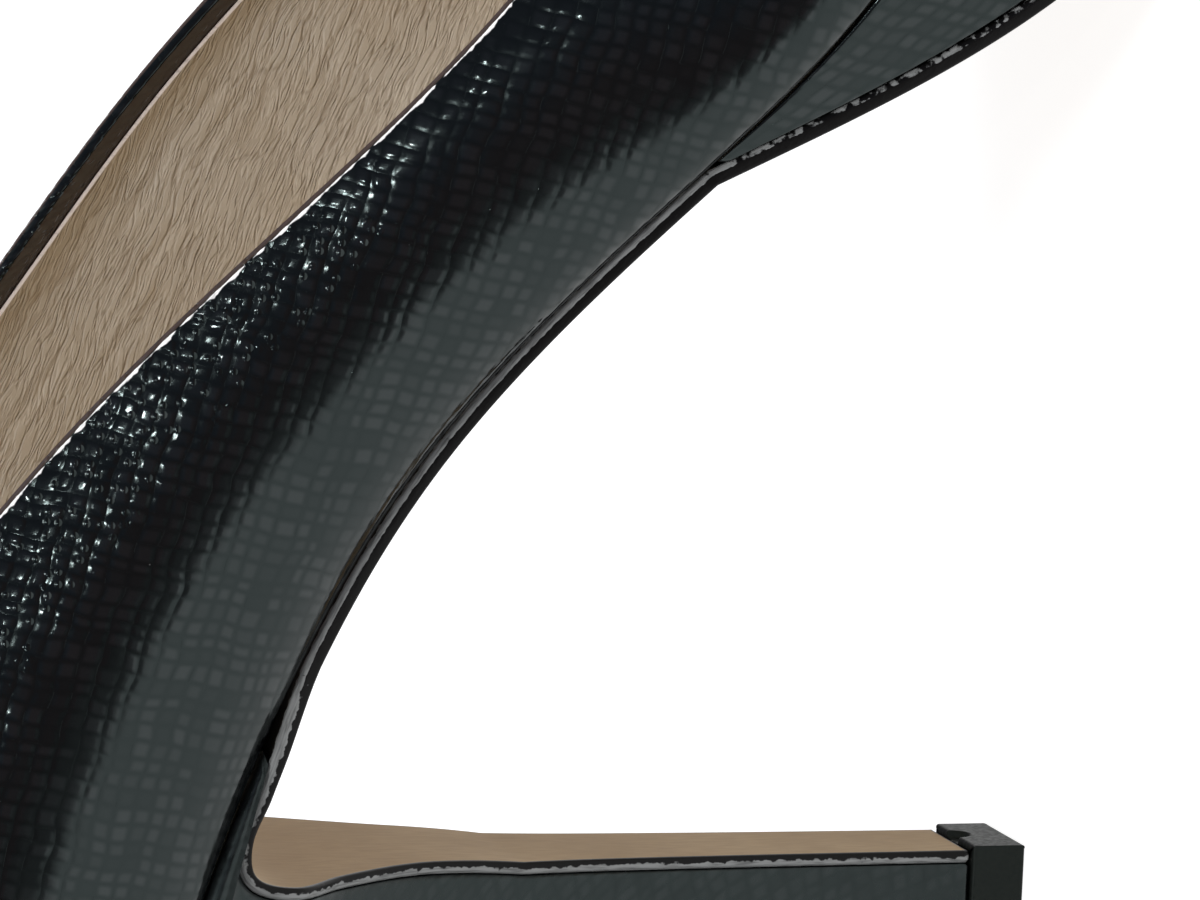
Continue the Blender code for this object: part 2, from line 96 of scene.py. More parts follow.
def hermite(knots, values, slopes, at):
    # cubic pieces between the knots, from the values and slopes there; one column for each thing followed
    at = np.clip(at, knots[0], knots[-1])
    left = np.clip(np.searchsorted(knots, at, side="right") - 1, 0, len(knots) - 2)
    step = (knots[left + 1] - knots[left])[:, None]
    t = (at - knots[left])[:, None] / step
    return (values[left] * (1 + 2 * t) * (1 - t) ** 2 + slopes[left] * step * t * (1 - t) ** 2
            + values[left + 1] * (3 - 2 * t) * t ** 2 + slopes[left + 1] * step * (t - 1) * t ** 2)


def spline(knots, values, at, flatEnd=False):
    # cubic curve with a continuous second derivative; free ends, or a level one where flatEnd is true
    values = np.asarray(values, float).reshape(len(knots), -1)
    step = np.diff(knots)
    slope = np.diff(values, axis=0) / step[:, None]
    system = np.diag(np.concatenate(((2.0,), 2.0 * (step[:-1] + step[1:]), (2.0,))))
    system += np.diag(np.concatenate(((1.0,), step[:-1])), 1)
    system += np.diag(np.concatenate((step[1:], (1.0,))), -1)
    wanted = np.zeros_like(values)
    wanted[0] = 3.0 * slope[0]
    wanted[-1] = 3.0 * slope[-1]
    wanted[1:-1] = 3.0 * (step[1:, None] * slope[:-1] + step[:-1, None] * slope[1:])
    if flatEnd:
        system[-1, -2:] = (0.0, 1.0)
        wanted[-1] = 0.0
    return hermite(knots, values, np.linalg.solve(system, wanted), np.atleast_1d(at))


def closedSpline(knots, values, at):
    # the same curve round a closed line, whose last knot is the first one a turn on
    turn = knots[-1] - knots[0]
    wrappedKnots = np.concatenate((knots[:-1] - turn, knots[:-1], knots + turn))
    wrapped = np.concatenate((values[:-1], values[:-1], values))
    return spline(wrappedKnots, wrapped, at)


def monotone(knots, values, at):
    # cubic curve that never overshoots its values: slopes are harmonic means, or level at a turn
    slope = np.diff(values) / np.diff(knots)
    same = slope[:-1] * slope[1:] > 0.0
    safe = np.where(same, slope[:-1] + slope[1:], 1.0)
    inner = np.where(same, 2.0 * slope[:-1] * slope[1:] / safe, 0.0)
    slopes = np.concatenate((slope[:1], inner, slope[-1:]))
    return hermite(knots, values[:, None], slopes[:, None], np.atleast_1d(at))[:, 0]


def smoothStep(t):
    t = np.clip(t, 0.0, 1.0)
    return t * t * (3.0 - 2.0 * t)


def unit(vectors):
    return vectors / np.maximum(np.linalg.norm(vectors, axis=-1, keepdims=True), 1e-12)


def toeSpring(x):
    start = last["flatEnd"] * last["length"]
    return last["toeSpring"] * np.clip((x - start) / (last["length"] - start), 0.0, 1.0) ** last["toeSpringPower"]


def featherHeight(x):
    # lower edge of the upper: the profile's rise between ball and seat, and part of the toe spring
    along, rise = np.array(profileRows).T
    share = spline(along, rise, np.ravel(x) / last["length"], flatEnd=True).reshape(np.shape(x))
    return last["ballLift"] + (last["heelHeight"] - last["ballLift"]) * share + last["toeRiseShare"] * toeSpring(x)


def soleTop(x, thickness):
    # upper face of the sole: under the upper behind, on the ground in front, turning over along the wedge
    start = last["platformStart"] * last["length"]
    t = np.clip((x - start) / (last["flatStart"] * last["length"] - start), 0.0, 1.0)
    share = smoothStep(t) + last["platformOpening"] * t * (1.0 - t) ** 2
    return (1.0 - share) * (featherHeight(x) - last["gap"]) + share * (thickness + toeSpring(x))


def roundTables():
    # feather line, topline and handles at the stations once round, heel back to toe and back
    s = stations
    widthShare = smoothStep((s["along"] - last["widthTurn"][0]) / (last["widthTurn"][1] - last["widthTurn"][0]))
    heightShare = smoothStep((s["along"] - last["heightTurn"][0]) / (last["heightTurn"][1] - last["heightTurn"][0]))
    width = last["seatWidth"] * (1 - widthShare) + last["ballWidth"] * widthShare
    height = last["backHeight"] * (1 - heightShare) + last["throatHeight"] * heightShare
    footX = s["along"] * last["length"]
    rimX = s["rim"] * (last["length"] - last["vampLength"])
    rimFoot = featherHeight(rimX)
    both = [(footX, footX), (-s["lateral"] * width, s["medial"] * width), (rimX, rimX),
            (-s["rimLateral"] * width, s["rimMedial"] * width),
            (rimFoot + s["lateralUp"] * height, rimFoot + s["medialUp"] * height)]
    both += [(s[name], s[name]) for name in ("footOut", "footUp", "rimOut", "rimDown")]
    table = np.stack([np.concatenate((one, other[-2::-1])) for one, other in both], axis=1)
    step = np.linalg.norm(np.diff(table[:, :2], axis=0), axis=1)
    distance = np.concatenate(((0.0,), np.cumsum(step)))
    return distance / distance[-1], table


def outward(line):
    # level unit normals of a closed line that runs from the heel along the lateral side
    run = unit(np.roll(line[:, :2], -1, axis=0) - np.roll(line[:, :2], 1, axis=0))
    return np.column_stack((run[:, 1], -run[:, 0], np.zeros(len(run))))


def wallEnds(steps):
    # foot, handles and top of the wall's curve at even places round the last
    knots, table = roundTables()
    row = closedSpline(knots, table, np.arange(steps) / steps)
    foot = np.column_stack((row[:, 0:2], featherHeight(row[:, 0])))
    top = row[:, 2:5]
    chord = np.linalg.norm(top - foot, axis=1)[:, None]
    up = np.array((0.0, 0.0, 1.0))
    footHandle = foot + chord * (row[:, 5:6] * outward(foot) + row[:, 6:7] * up)
    topHandle = top + chord * (row[:, 7:8] * outward(top) - row[:, 8:9] * up)
    return foot, footHandle, topHandle, top


def wallGrid(steps, t):
    # outer face of the upper: a cubic curve from foot to top at each place round, read at the shares t
    foot, footHandle, topHandle, top = (end[:, None] for end in wallEnds(steps))
    t = np.broadcast_to(t, (steps, np.shape(t)[-1]))[:, :, None]
    return foot * (1 - t) ** 3 + 3 * footHandle * t * (1 - t) ** 2 + 3 * topHandle * t ** 2 * (1 - t) + top * t ** 3


def gridNormals(grid):
    # outward normals of a grid that is closed round its first direction
    along = np.roll(grid, -1, axis=0) - np.roll(grid, 1, axis=0)
    return unit(np.cross(along, np.gradient(grid, axis=1)))


def featherLine(inset=0.0, count=720):
    # plan of the feather line moved in by an inset, once round from the heel back
    knots, table = roundTables()
    line = closedSpline(knots, table[:, :2], np.arange(count) / count)
    return line - inset * outward(line)[:, :2]


def halfWidths(x, inset=0.0):
    # y of the feather line at x, on the lateral and the medial side
    line = featherLine(inset)
    toe = int(np.argmax(line[:, 0]))
    turned = np.roll(line, -toe, axis=0)
    heel = int(np.argmin(turned[:, 0]))
    medial = turned[:heel + 1][::-1]
    lateral = turned[heel:]
    return np.interp(x, lateral[:, 0], lateral[:, 1]), np.interp(x, medial[:, 0], medial[:, 1])


# The flat pattern of the upper, cut open at the heel back, which the emboss and the grain follow
pattern = {"roundSteps": 84, "upSteps": 14, "levelUntil": 35.0 * mm, "levelFade": 25.0 * mm, "leastWeight": 0.05}


def flatPattern():
    # The wall laid flat as the emboss runs on it: toe-ward along the pattern's X, and its Y from the lateral
    # feather line over the top to the medial one. Each small triangle asks for its own edges, read along those two
    # directions in its own plane, and one solve finds the points that suit them all best.
    sheet = wallGrid(pattern["roundSteps"], np.linspace(0.0, 1.0, pattern["upSteps"] + 1))
    sheet = np.concatenate((sheet, sheet[:1]))
    shape = sheet.shape[:2]
    number = np.arange(shape[0] * shape[1]).reshape(shape)
    quad = [number[:-1, :-1].ravel(), number[1:, :-1].ravel(), number[1:, 1:].ravel(), number[:-1, 1:].ravel()]
    corners = np.concatenate((np.stack((quad[0], quad[1], quad[2]), 1), np.stack((quad[0], quad[2], quad[3]), 1)))
    solid = sheet.reshape(-1, 3)[corners]
    normal = unit(np.cross(solid[:, 1] - solid[:, 0], solid[:, 2] - solid[:, 0]))
    side = np.where(corners[:, 0] // shape[1] < pattern["roundSteps"] // 2, 1.0, -1.0)[:, None]
    level = unit(side * np.cross((0.0, 0.0, 1.0), normal))
    ahead = unit(np.array((1.0, 0.0, 0.0)) - normal[:, :1] * normal)
    middle = solid[:, :, 0].mean(axis=1)
    share = smoothStep((middle - pattern["levelUntil"]) / pattern["levelFade"])[:, None]
    along = unit(level * (1.0 - share) + ahead * share)
    across = np.cross(normal, along)

    ends = np.array(((0, 1), (1, 2), (2, 0)))
    run = solid[:, ends[:, 0]] - solid[:, ends[:, 1]]
    before, after = -run[:, (1, 2, 0)], run[:, (2, 0, 1)]
    area = np.linalg.norm(np.cross(before, after), axis=2)
    weight = np.maximum((before * after).sum(axis=2) / np.maximum(area, 1e-12), pattern["leastWeight"])
    asked = weight[:, :, None] * np.stack(((run * along[:, None]).sum(axis=2), (run * across[:, None]).sum(axis=2)), 2)
    start, end = corners[:, ends[:, 0]], corners[:, ends[:, 1]]
    system = np.zeros((number.size, number.size))
    wanted = np.zeros((number.size, 2))
    for here, there in ((start, end), (end, start)):
        np.add.at(system, (here, here), weight)
        np.add.at(system, (here, there), -weight)
    np.add.at(wanted, start, asked)
    np.add.at(wanted, end, -asked)
    system[0] = 0.0
    system[0, 0] = 1.0
    wanted[0] = 0.0
    return np.linalg.solve(system, wanted).reshape(*shape, 2)


def readPattern(flat, steps, t):
    # the flat pattern at even places round and at the shares t up, by cubic curves both ways
    count = pattern["upSteps"]
    knots = np.linspace(0.0, 1.0, len(flat))
    dense = spline(knots, flat.reshape(len(flat), -1), np.linspace(0.0, 1.0, steps + 1))
    dense = dense.reshape(steps + 1, count + 1, 2)
    slopes = np.gradient(dense, axis=1)
    t = np.broadcast_to(t, (steps, np.shape(t)[-1]))
    t = np.concatenate((t, t[:1])) * count
    left = np.clip(np.floor(t).astype(int), 0, count - 1)
    f = (t - left)[:, :, None]
    row = np.arange(steps + 1)[:, None]
    return (dense[row, left] * (1 + 2 * f) * (1 - f) ** 2 + slopes[row, left] * f * (1 - f) ** 2
            + dense[row, left + 1] * (3 - 2 * f) * f ** 2 + slopes[row, left + 1] * (f - 1) * f ** 2)


def meshFromGrid(name, grid, chart, wrapRound=True, wrapUp=True, weld=False, side=None, marks=None):
    # A surface through a grid of points measured from the heel back. The chart holds the flat place of each
    # grid corner, with one more row or column where the grid closes on itself. side is a second chart, and the
    # columns of faces that follow it.
    rows, cols = grid.shape[:2]
    i, j = np.meshgrid(np.arange(rows if wrapRound else rows - 1), np.arange(cols if wrapUp else cols - 1),
                       indexing="ij")
    i, j = i.ravel(), j.ravel()
    iNext, jNext = (i + 1) % rows, (j + 1) % cols
    faces = np.stack((i * cols + j, iNext * cols + j, iNext * cols + jNext, i * cols + jNext), axis=1)
    corners = ((i, j), (i + 1, j), (i + 1, j + 1), (i, j + 1))
    flat = np.stack([chart[corner] for corner in corners], axis=1)
    if side is not None:
        sideFlat = np.stack([side[0][corner] for corner in corners], axis=1)
        flat = np.where(side[1][j][:, None, None], sideFlat, flat)
    placed = grid.reshape(-1, 3) - np.array((last["tipSetback"], 0.0, 0.0))
    mesh = bpy.data.meshes.new(name)
    mesh.from_pydata(placed, [], faces)
    layer = mesh.uv_layers.new(name="flat")
    layer.data.foreach_set("uv", flat.astype(np.float32).ravel())
    for mark, values in (marks or {}).items():
        mesh.attributes.new(mark, "FLOAT", "POINT").data.foreach_set("value", values.astype(np.float32).ravel())
    shaped = bmesh.new()
    shaped.from_mesh(mesh)
    if weld:
        bmesh.ops.remove_doubles(shaped, verts=shaped.verts, dist=1e-6)
        bmesh.ops.dissolve_degenerate(shaped, edges=shaped.edges, dist=1e-7)
    bmesh.ops.recalc_face_normals(shaped, faces=shaped.faces)
    shaped.to_mesh(mesh)
    shaped.free()
    mesh.shade_smooth()
    made = bpy.data.objects.new(name, mesh)
    bpy.context.scene.collection.objects.link(made)
    return made


def dress(piece, material, slot, *nodes):
    # finish, body and the solid that the piece stands for; slot is not used
    piece.data.materials.append(material)
    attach(piece, "root")
    if nodes:
        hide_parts(*nodes)
    print("made", piece.name, "with", len(piece.data.polygons), "faces")
    return piece


# Upper: skin folded over the topline, dark facing strip, lining
upper = {
    "steps": 1000,                  # places round
    "skin": 1.0 * mm,               # thickness of the embossed skin
    "wall": 2.0 * mm,               # skin and lining together
    "lip": 0.45 * mm,               # radius that turns under at the feather line
    "reliefFade": (100.0 * mm, 113.0 * mm, 0.45),   # forward of the heel back, and what is left in front
    "reliefLow": 0.20,              # share of the emboss that is left at the sole
    "fold": (1.8 * mm, 0.75 * mm),  # width and height of the folded topline
    "foldCorners": (0.45 * mm, 0.70 * mm),  # outer and inner
    "foldFall": np.radians(12.0),   # its top falls outward
    "facing": 0.55 * mm,            # how far the skin is turned in
    "strip": 2.7 * mm,              # lower edge of the dark strip, under the topline
    "stripBack": 1.46 * mm,         # its face, behind the outer face
    "liningEdge": 0.44 * mm,        # thickness of the lining's cut edge
    "liningSteps": 900,
    "creaseDepth": 0.16 * mm,
    "creaseWidth": 0.55 * mm,
}

# Creases of the lining on the inner side of the foot, in the side view: mm from the heel back and above ground
liningCreases = (
    ((105.0, 75.6), (102.2, 76.6), (99.2, 78.4), (96.2, 80.8)),
    ((94.6, 82.6), (92.6, 85.2), (89.2, 90.6)),
    ((110.6, 70.0), (108.2, 71.9), (105.2, 74.6)),
    ((109.4, 71.7), (107.0, 73.4)),
    ((116.2, 57.6), (112.6, 59.4), (109.0, 60.6)),
    ((111.2, 65.2), (108.0, 66.0), (104.2, 68.0)),
    ((108.6, 68.4), (104.2, 71.6), (101.2, 73.0)),
    ((86.4, 84.6), (82.4, 87.4), (77.6, 91.2)),
    ((97.2, 74.4), (93.4, 77.2), (90.2, 79.0)),
    ((91.4, 75.4), (87.4, 78.4), (84.2, 81.6)),
)


def wallShares(steps):
    # places up the wall: closely set round the lip, then evenly to the foot of the fold
    foot, footHandle, topHandle, top = wallEnds(steps)
    speed = 3.0 * np.linalg.norm(footHandle - foot, axis=1)[:, None]
    lipEnd = upper["lip"] / speed
    foldStart = 1.0 - upper["fold"][1] / (3.0 * np.linalg.norm(top - topHandle, axis=1)[:, None])
    lip = lipEnd * (1.0 - np.cos(np.linspace(0.0, np.pi / 2.0, 9)))[None]
    body = lipEnd + (foldStart - lipEnd) * np.linspace(0.0, 1.0, 41)[None, 1:]
    return np.concatenate((lip, body), axis=1), speed


def foldSection(rimNormal):
    # section of the folded topline, as steps inward and up at each place round: two corners, each an arc
    # (1 - cos a, sin a), and a nearly level top that touches both; then how far each row takes the painted highlight
    # and the brown
    width, height = upper["fold"]
    outer, inner = upper["foldCorners"]
    turn = np.clip(np.arcsin(rimNormal[:, 2:]) + upper["foldFall"], 0.0, 0.75)
    tilt = np.pi / 2.0 - turn
    innerUp = height - outer + (width - outer - inner) * np.tan(turn) + (outer - inner) / np.cos(turn)
    share = np.linspace(0.0, 1.0, 9)[None]
    first, second = tilt * share, tilt + (np.pi - tilt) * share
    inward = np.concatenate((outer * (1.0 - np.cos(first)), width - inner - inner * np.cos(second)), axis=1)
    up = np.concatenate((height - outer + outer * np.sin(first), innerUp + inner * np.sin(second)), axis=1)
    # painted highlight: near-white colour on the rows of the fold's outer corner
    paintedHighlight = np.array((0.85, 1.0, 1.0, 0.7, 0.2) + (0.0,) * 13)
    brown = np.array((0.0,) * 4 + (0.5,) + (1.0,) * 6 + (0.5,) + (0.0,) * 4 + (0.5, 1.0))
    return inward, up, paintedHighlight, brown


def buildUpper(flat):
    # outer face with its foot rounded under by a quarter circle, the fold over the rim, and back down
    steps = upper["steps"]
    t, speed = wallShares(steps)
    wall = wallGrid(steps, t)
    normal = gridNormals(wall)
    near = np.clip(t * speed, 0.0, upper["lip"])
    under = upper["lip"] - np.sqrt(upper["lip"] ** 2 - (upper["lip"] - near) ** 2)
    outer = wall - normal * under[:, :, None]
    rimNormal = normal[:, -1]
    rimUp = unit(wall[:, -1] - wall[:, -2])
    inward, up, paintedHighlight, brown = foldSection(rimNormal)
    over = wall[:, -1:] - rimNormal[:, None] * inward[:, :, None] + rimUp[:, None] * up[:, :, None]
    depth = upper["facing"] * np.linspace(0.0, 1.0, 4)
    turned = (wall[:, -1] - upper["fold"][0] * rimNormal)[:, None] - rimUp[:, None] * depth[None, :, None]
    backShares = t[:, -4::-6]
    back = wallGrid(steps, backShares) - upper["skin"] * normal[:, -4::-6]
    grid = np.concatenate((outer, over, turned, back), axis=1)

    chart = readPattern(flat, steps, t)
    chartUp = unit(chart[:, -1] - chart[:, -2])
    down = np.broadcast_to(depth, (steps, 4))
    across = np.concatenate((np.zeros((steps, 1)), inward, np.full((steps, 4), upper["fold"][0])), axis=1)
    risen = np.concatenate((np.zeros((steps, 1)), up, -down), axis=1)
    beyond = np.hypot(np.diff(across, axis=1), np.diff(risen, axis=1)).cumsum(axis=1)
    beyond = np.concatenate((beyond, beyond[:1]))
    chartOver = chart[:, -1:] + chartUp[:, None] * beyond[:, :, None]
    chartBack = readPattern(flat, steps, backShares)
    chart = np.concatenate((chart, chartOver, chartBack, chart[:, :1]), axis=1)
    # the leather keeps its relief towards the topline and is pulled flat towards the sole
    share = np.concatenate((t, np.ones((steps, grid.shape[1] - t.shape[1]))), axis=1)
    relief = upper["reliefLow"] + (1.0 - upper["reliefLow"]) * smoothStep((share - 0.52) / 0.36)
    start, end, left = upper["reliefFade"]
    relief *= 1.0 - (1.0 - left) * smoothStep((grid[:, :, 0] - start) / (end - start))
    marks = {"relief": relief, "paintedHighlight": np.zeros(grid.shape[:2]), "brown": np.ones(grid.shape[:2])}
    fold = slice(t.shape[1], t.shape[1] + len(paintedHighlight))
    # the fold's outer corner, and the wall row just under it, get the painted highlight
    marks["paintedHighlight"][:, fold] = paintedHighlight
    marks["paintedHighlight"][:, fold.start - 1] = 0.25
    marks["brown"][:, :fold.stop] = np.append(np.zeros(fold.start), brown)
    return meshFromGrid("upperSkin", grid, chart, marks=marks)


def creaseFall(x, z):
    # how far the lining sinks along its listed creases, with a low ridge on each side of a trough
    fall = np.zeros(np.shape(x))
    for crease in liningCreases:
        points = np.array(crease) * mm
        nearest = np.full(np.shape(x), 1.0)
        for (x0, z0), (x1, z1) in zip(points[:-1], points[1:]):
            t = np.clip(((x - x0) * (x1 - x0) + (z - z0) * (z1 - z0)) / ((x1 - x0) ** 2 + (z1 - z0) ** 2), 0.0, 1.0)
            nearest = np.minimum(nearest, np.hypot(x - x0 - t * (x1 - x0), z - z0 - t * (z1 - z0)))
        ends = [np.hypot(x - points[k, 0], z - points[k, 1]) for k in (0, -1)]
        fade = smoothStep(np.minimum(*ends) / (2.5 * mm) + 0.15)
        near = nearest / upper["creaseWidth"]
        fall += fade * (np.exp(-near ** 2) - 0.45 * np.exp(-((near - 1.9) / 0.8) ** 2))
    return upper["creaseDepth"] * fall


def buildLining(flat):
    # the lining from its cut edge under the topline to the insole, and its plain back inside the wall
    steps = upper["liningSteps"]
    _, _, topHandle, rim = wallEnds(steps)
    speed = 3.0 * np.linalg.norm(rim - topHandle, axis=1)[:, None]
    t = (1.0 - upper["strip"] / speed) * np.linspace(1.0, 0.0, 86)[None]
    wall = wallGrid(steps, t)
    inward = -gridNormals(wall[:, ::-1])[:, ::-1]
    edgeBack = upper["wall"] - upper["liningEdge"]
    half = upper["liningEdge"] / 2.0
    angle = np.linspace(0.0, np.pi, 7)[1:-1]
    up = unit(wall[:, 0] - wall[:, 1])
    centre = wall[:, 0] + inward[:, 0] * (edgeBack + half)
    edge = centre[:, None] + half * (-inward[:, :1] * np.cos(angle)[None, :, None]
                                     + up[:, None] * np.sin(angle)[None, :, None])
    fall = creaseFall(wall[:, :, 0], wall[:, :, 2]) * (wall[:, :, 1] > 0.0)
    face = wall + inward * (upper["wall"] - fall)[:, :, None]
    behind = (wall + inward * edgeBack)[:, ::-17]
    grid = np.concatenate((edge, face, behind), axis=1)
    chart = readPattern(flat, steps, t)
    chartEdge = np.repeat(chart[:, :1], len(angle), axis=1)
    chart = np.concatenate((chartEdge, chart, chart[:, ::-17], chartEdge[:, :1]), axis=1)
    depth = np.concatenate((np.zeros((steps, len(angle))), (1.0 - t) * speed, np.full(behind.shape[:2], 1.0)), axis=1)
    return meshFromGrid("lining", grid, chart, marks={"underTopline": depth / mm})


def buildStrip(flat):
    # the dark strip between the folded skin and the lining's edge
    steps = upper["steps"]
    _, _, topHandle, rim = wallEnds(steps)
    rimUp = unit(rim - topHandle)
    normal = gridNormals(wallGrid(steps, np.array((0.9, 0.95, 1.0))))[:, -1]
    depths = np.array((0.9, 1.3, 1.7, 2.1, 2.5, 3.2, 3.2, 2.0, 0.9)) * mm
    backs = np.array((0.94, 1.0, 1.05, 1.05, 1.0, 0.98, 0.75, 0.75, 0.75)) * upper["stripBack"]
    grid = rim[:, None] - rimUp[:, None] * depths[None, :, None] - normal[:, None] * backs[None, :, None]
    chart = readPattern(flat, steps, np.array((1.0,)))
    chart = chart - np.array((0.0, 1.0)) * np.append(depths, depths[:1])[None, :, None]
    return meshFromGrid("toplineStrip", grid, chart)


def slab(name, outline, centre, rings, place, weld=True, paintedSheen=None):
    # A slab from its outline: every ring of its section is the outline moved in by an inset and then a share of
    # the way to the centre line, at a level between its two faces. place turns flat places and levels into points.
    normal = outward(outline)[:, :2]
    inset, share, level = (np.array(column)[None, :, None] for column in zip(*rings))
    edge = outline[:, None] - normal[:, None] * inset
    flat = edge + (centre[:, None] - edge) * share
    grid = place(flat[:, :, 0], flat[:, :, 1], level[:, :, 0])
    chart = np.concatenate((flat, flat[:1]))
    # round the edge the chart unrolls: the outline's length, and the section's length below its upper end
    onSide = share[0, :, 0] == 0.0
    closed = np.concatenate((outline, outline[:1]))
    roundLength = np.concatenate(((0.0,), np.cumsum(np.linalg.norm(np.diff(closed, axis=0), axis=1))))
    section = np.linalg.norm(np.diff(grid, axis=1), axis=2)[:, ::-1].cumsum(axis=1)[:, ::-1]
    section = np.concatenate((section, np.zeros((len(grid), 1))), axis=1)
    section = section - section[:, np.flatnonzero(onSide)[-1]][:, None]
    section = np.concatenate((section, section[:1]))
    unrolled = np.stack((np.broadcast_to(roundLength[:, None], section.shape), -section), axis=2)
    sideFaces = onSide[:-1] & onSide[1:]
    upperFace = level[0, :, 0] == 1.0
    marks = {"edge": np.broadcast_to((onSide | upperFace).astype(float), grid.shape[:2])}
    # paintedSheen marks where the edge paint gets a painted highlight
    if paintedSheen is not None:
        marks["paintedSheen"] = paintedSheen
    return meshFromGrid(name, grid, chart, wrapUp=False, weld=weld, side=(unrolled, sideFaces), marks=marks)


def roundedSection(radius, thickness, inner, sideSteps=3, bulge=0.0):
    # section of a slab from the middle of its lower face round its edge to the middle of its upper face
    rings = [(radius, share, 0.0) for share in inner]
    corner = np.linspace(0.0, np.pi / 2.0, 6)
    rings += [(radius * (1.0 - np.sin(a)), 0.0, radius * (1.0 - np.cos(a)) / thickness) for a in corner]
    side = np.linspace(radius / thickness, 1.0 - radius / thickness, sideSteps + 2)[1:-1]
    rings += [(-bulge * np.sin(np.pi * (s - side[0]) / max(side[-1] - side[0], 1e-9)), 0.0, s) for s in side]
    rings += [(radius * (1.0 - np.cos(a)), 0.0, 1.0 - radius * (1.0 - np.sin(a)) / thickness) for a in corner]
    rings += [(radius, share, 1.0) for share in inner[::-1]]
    return rings


def roundOutline(inset, count, fromX=None):
    # the feather line's plan, or only its part in front of fromX, closed straight across behind
    line = featherLine(inset, 1440)
    if fromX is not None:
        toe = int(np.argmax(line[:, 0]))
        keep = line[:, 0] > fromX
        line = line[keep]
        lateral, medial = halfWidths(np.array((fromX,)), inset)
        across = np.linspace(medial[0], lateral[0], 40)[:-1]
        line = np.concatenate((line, np.column_stack((np.full(len(across), fromX), across))))
    closed = np.concatenate((line, line[:1]))
    step = np.linalg.norm(np.diff(closed, axis=0), axis=1)
    distance = np.concatenate(((0.0,), np.cumsum(step)))
    at = np.arange(count) / count * distance[-1]
    return np.column_stack([np.interp(at, distance, closed[:, k]) for k in (0, 1)])


def centreOf(outline, inset):
    # each outline place's own place on the centre line, kept away from both ends
    low, high = outline[:, 0].min() + inset, outline[:, 0].max() - inset
    x = np.clip(outline[:, 0], low, high)
    lateral, medial = halfWidths(x)
    return np.column_stack((x, (lateral + medial) / 2.0))


platform = {"steps": 760, "edge": 0.8 * mm, "begin": 0.4 * mm, "soleThickness": 1.5 * mm}


def buildPlatform():
    # the covered wedge between the upper and the sole, from where it is thick enough to the toe
    dense = np.linspace(last["platformStart"], last["flatStart"], 400) * last["length"]
    room = featherHeight(dense) - soleTop(dense, platform["soleThickness"]) - 2.0 * last["gap"]
    start = dense[np.argmax(room > platform["begin"])]
    outline = roundOutline(0.0, platform["steps"], start)
    centre = centreOf(outline, 12.0 * mm)

    def place(x, y, level):
        # rounded edges keep their radius where the wedge is thick, and shrink with it where it is thin
        low = soleTop(x, platform["soleThickness"]) + last["gap"] * 0.5
        high = featherHeight(x) - last["gap"] * 0.3
        return np.stack((x, y, low + (high - low) * np.broadcast_to(level, x.shape)), axis=2)

    rings = roundedSection(platform["edge"], 18.0 * mm, (1.0, 0.5), sideSteps=12)
    return slab("platformCover", outline, centre, rings, place)


insole = {"steps": 500, "inset": 1.9 * mm, "thickness": 2.6 * mm, "cup": 0.9 * mm, "cupReach": 7.0 * mm}


def buildInsole():
    # the sock: a thin board that cups up towards the lining
    outline = roundOutline(insole["inset"], insole["steps"])
    centre = centreOf(outline, 16.0 * mm)

    def place(x, y, level):
        lateral, medial = halfWidths(x.ravel(), insole["inset"])
        fromEdge = np.minimum(y.ravel() - lateral, medial - y.ravel()).reshape(x.shape)
        cup = insole["cup"] * smoothStep(1.0 - fromEdge / insole["cupReach"]) * level
        return np.stack((x, y, featherHeight(x) + insole["thickness"] * level + cup), axis=2)

    rings = roundedSection(0.4 * mm, insole["thickness"], (1.0, 0.7, 0.4, 0.2, 0.08), sideSteps=1)
    return slab("sockLining", outline, centre, rings, place)


heel = {
    "tipLength": 12.0 * mm,
    "tipWidth": 10.2 * mm,
    "tipHeight": 5.0 * mm,
    "tipLip": 0.11 * mm,
    "tipStep": 0.2 * mm,
    "breastStraight": 0.637,
    "startReach": 1.35,
    "startRise": 0.86,
    "endReach": 0.133,
    "endRise": 1.113,
    "join": 0.10,
    "backStart": (0.017, 0.38),
    "backEnd": (0.032, 0.48),
    "fullest": 0.45,
    "frontEdge": 0.4 * mm,
    "cornerEdge": 0.5 * mm,         # radius at the lower end of the cover
    "rows": (                       # down, front, side, back, as shares
        (0.00, 0.900, 1.000, 0.00), (0.08, 0.900, 1.000, 0.00), (0.13, 0.892, 1.000, 0.00),
        (0.18, 0.812, 0.990, 0.03), (0.23, 0.794, 0.950, 0.07), (0.28, 0.762, 0.870, 0.13),
        (0.34, 0.562, 0.715, 0.22), (0.45, 0.350, 0.500, 0.39), (0.62, 0.253, 0.325, 0.62),
        (0.80, 0.225, 0.256, 0.815), (1.00, 0.210, 0.215, 1.00),
    ),
}
heelColumns = np.array(heel["rows"]).T


def bezier(start, startHandle, endHandle, end, t):
    t = t[:, None]
    return start * (1 - t) ** 3 + 3 * startHandle * t * (1 - t) ** 2 + 3 * endHandle * t ** 2 * (1 - t) + end * t ** 3


def flapLine(steps=60):
    # side view of the sole's inner face, from the arch round into the breast and down to the top piece
    thickness = sole["thickness"]
    startX = last["heelFront"] * last["length"]
    near = soleTop(np.array((startX, startX - mm)), thickness)
    start = np.array((startX, near[0]))
    slope = (near[1] - near[0]) / mm
    breastX = last["tipSetback"] + heel["tipLength"] / 2.0 - heel["tipLip"] - thickness
    bottom = np.array((breastX, heel["tipHeight"] + last["gap"]))
    turnEnd = np.array((breastX, bottom[1] + heel["breastStraight"] * (start[1] - bottom[1])))
    reach = startX - breastX
    rise = start[1] - turnEnd[1]
    startHandle = start + heel["startReach"] * reach * np.array((-1.0, heel["startRise"] * slope))
    endHandle = turnEnd + np.array((heel["endReach"] * reach, heel["endRise"] * rise))
    bend = bezier(start, startHandle, endHandle, turnEnd, np.linspace(0.0, 1.0, steps + 1))
    return np.concatenate((bend, np.linspace(turnEnd, bottom, steps + 1)[1:]))


def sideNormals(line):
    # unit normals in the side view, towards the upper and the heel
    run = unit(np.gradient(line, axis=0))
    return np.column_stack((run[:, 1], -run[:, 0]))


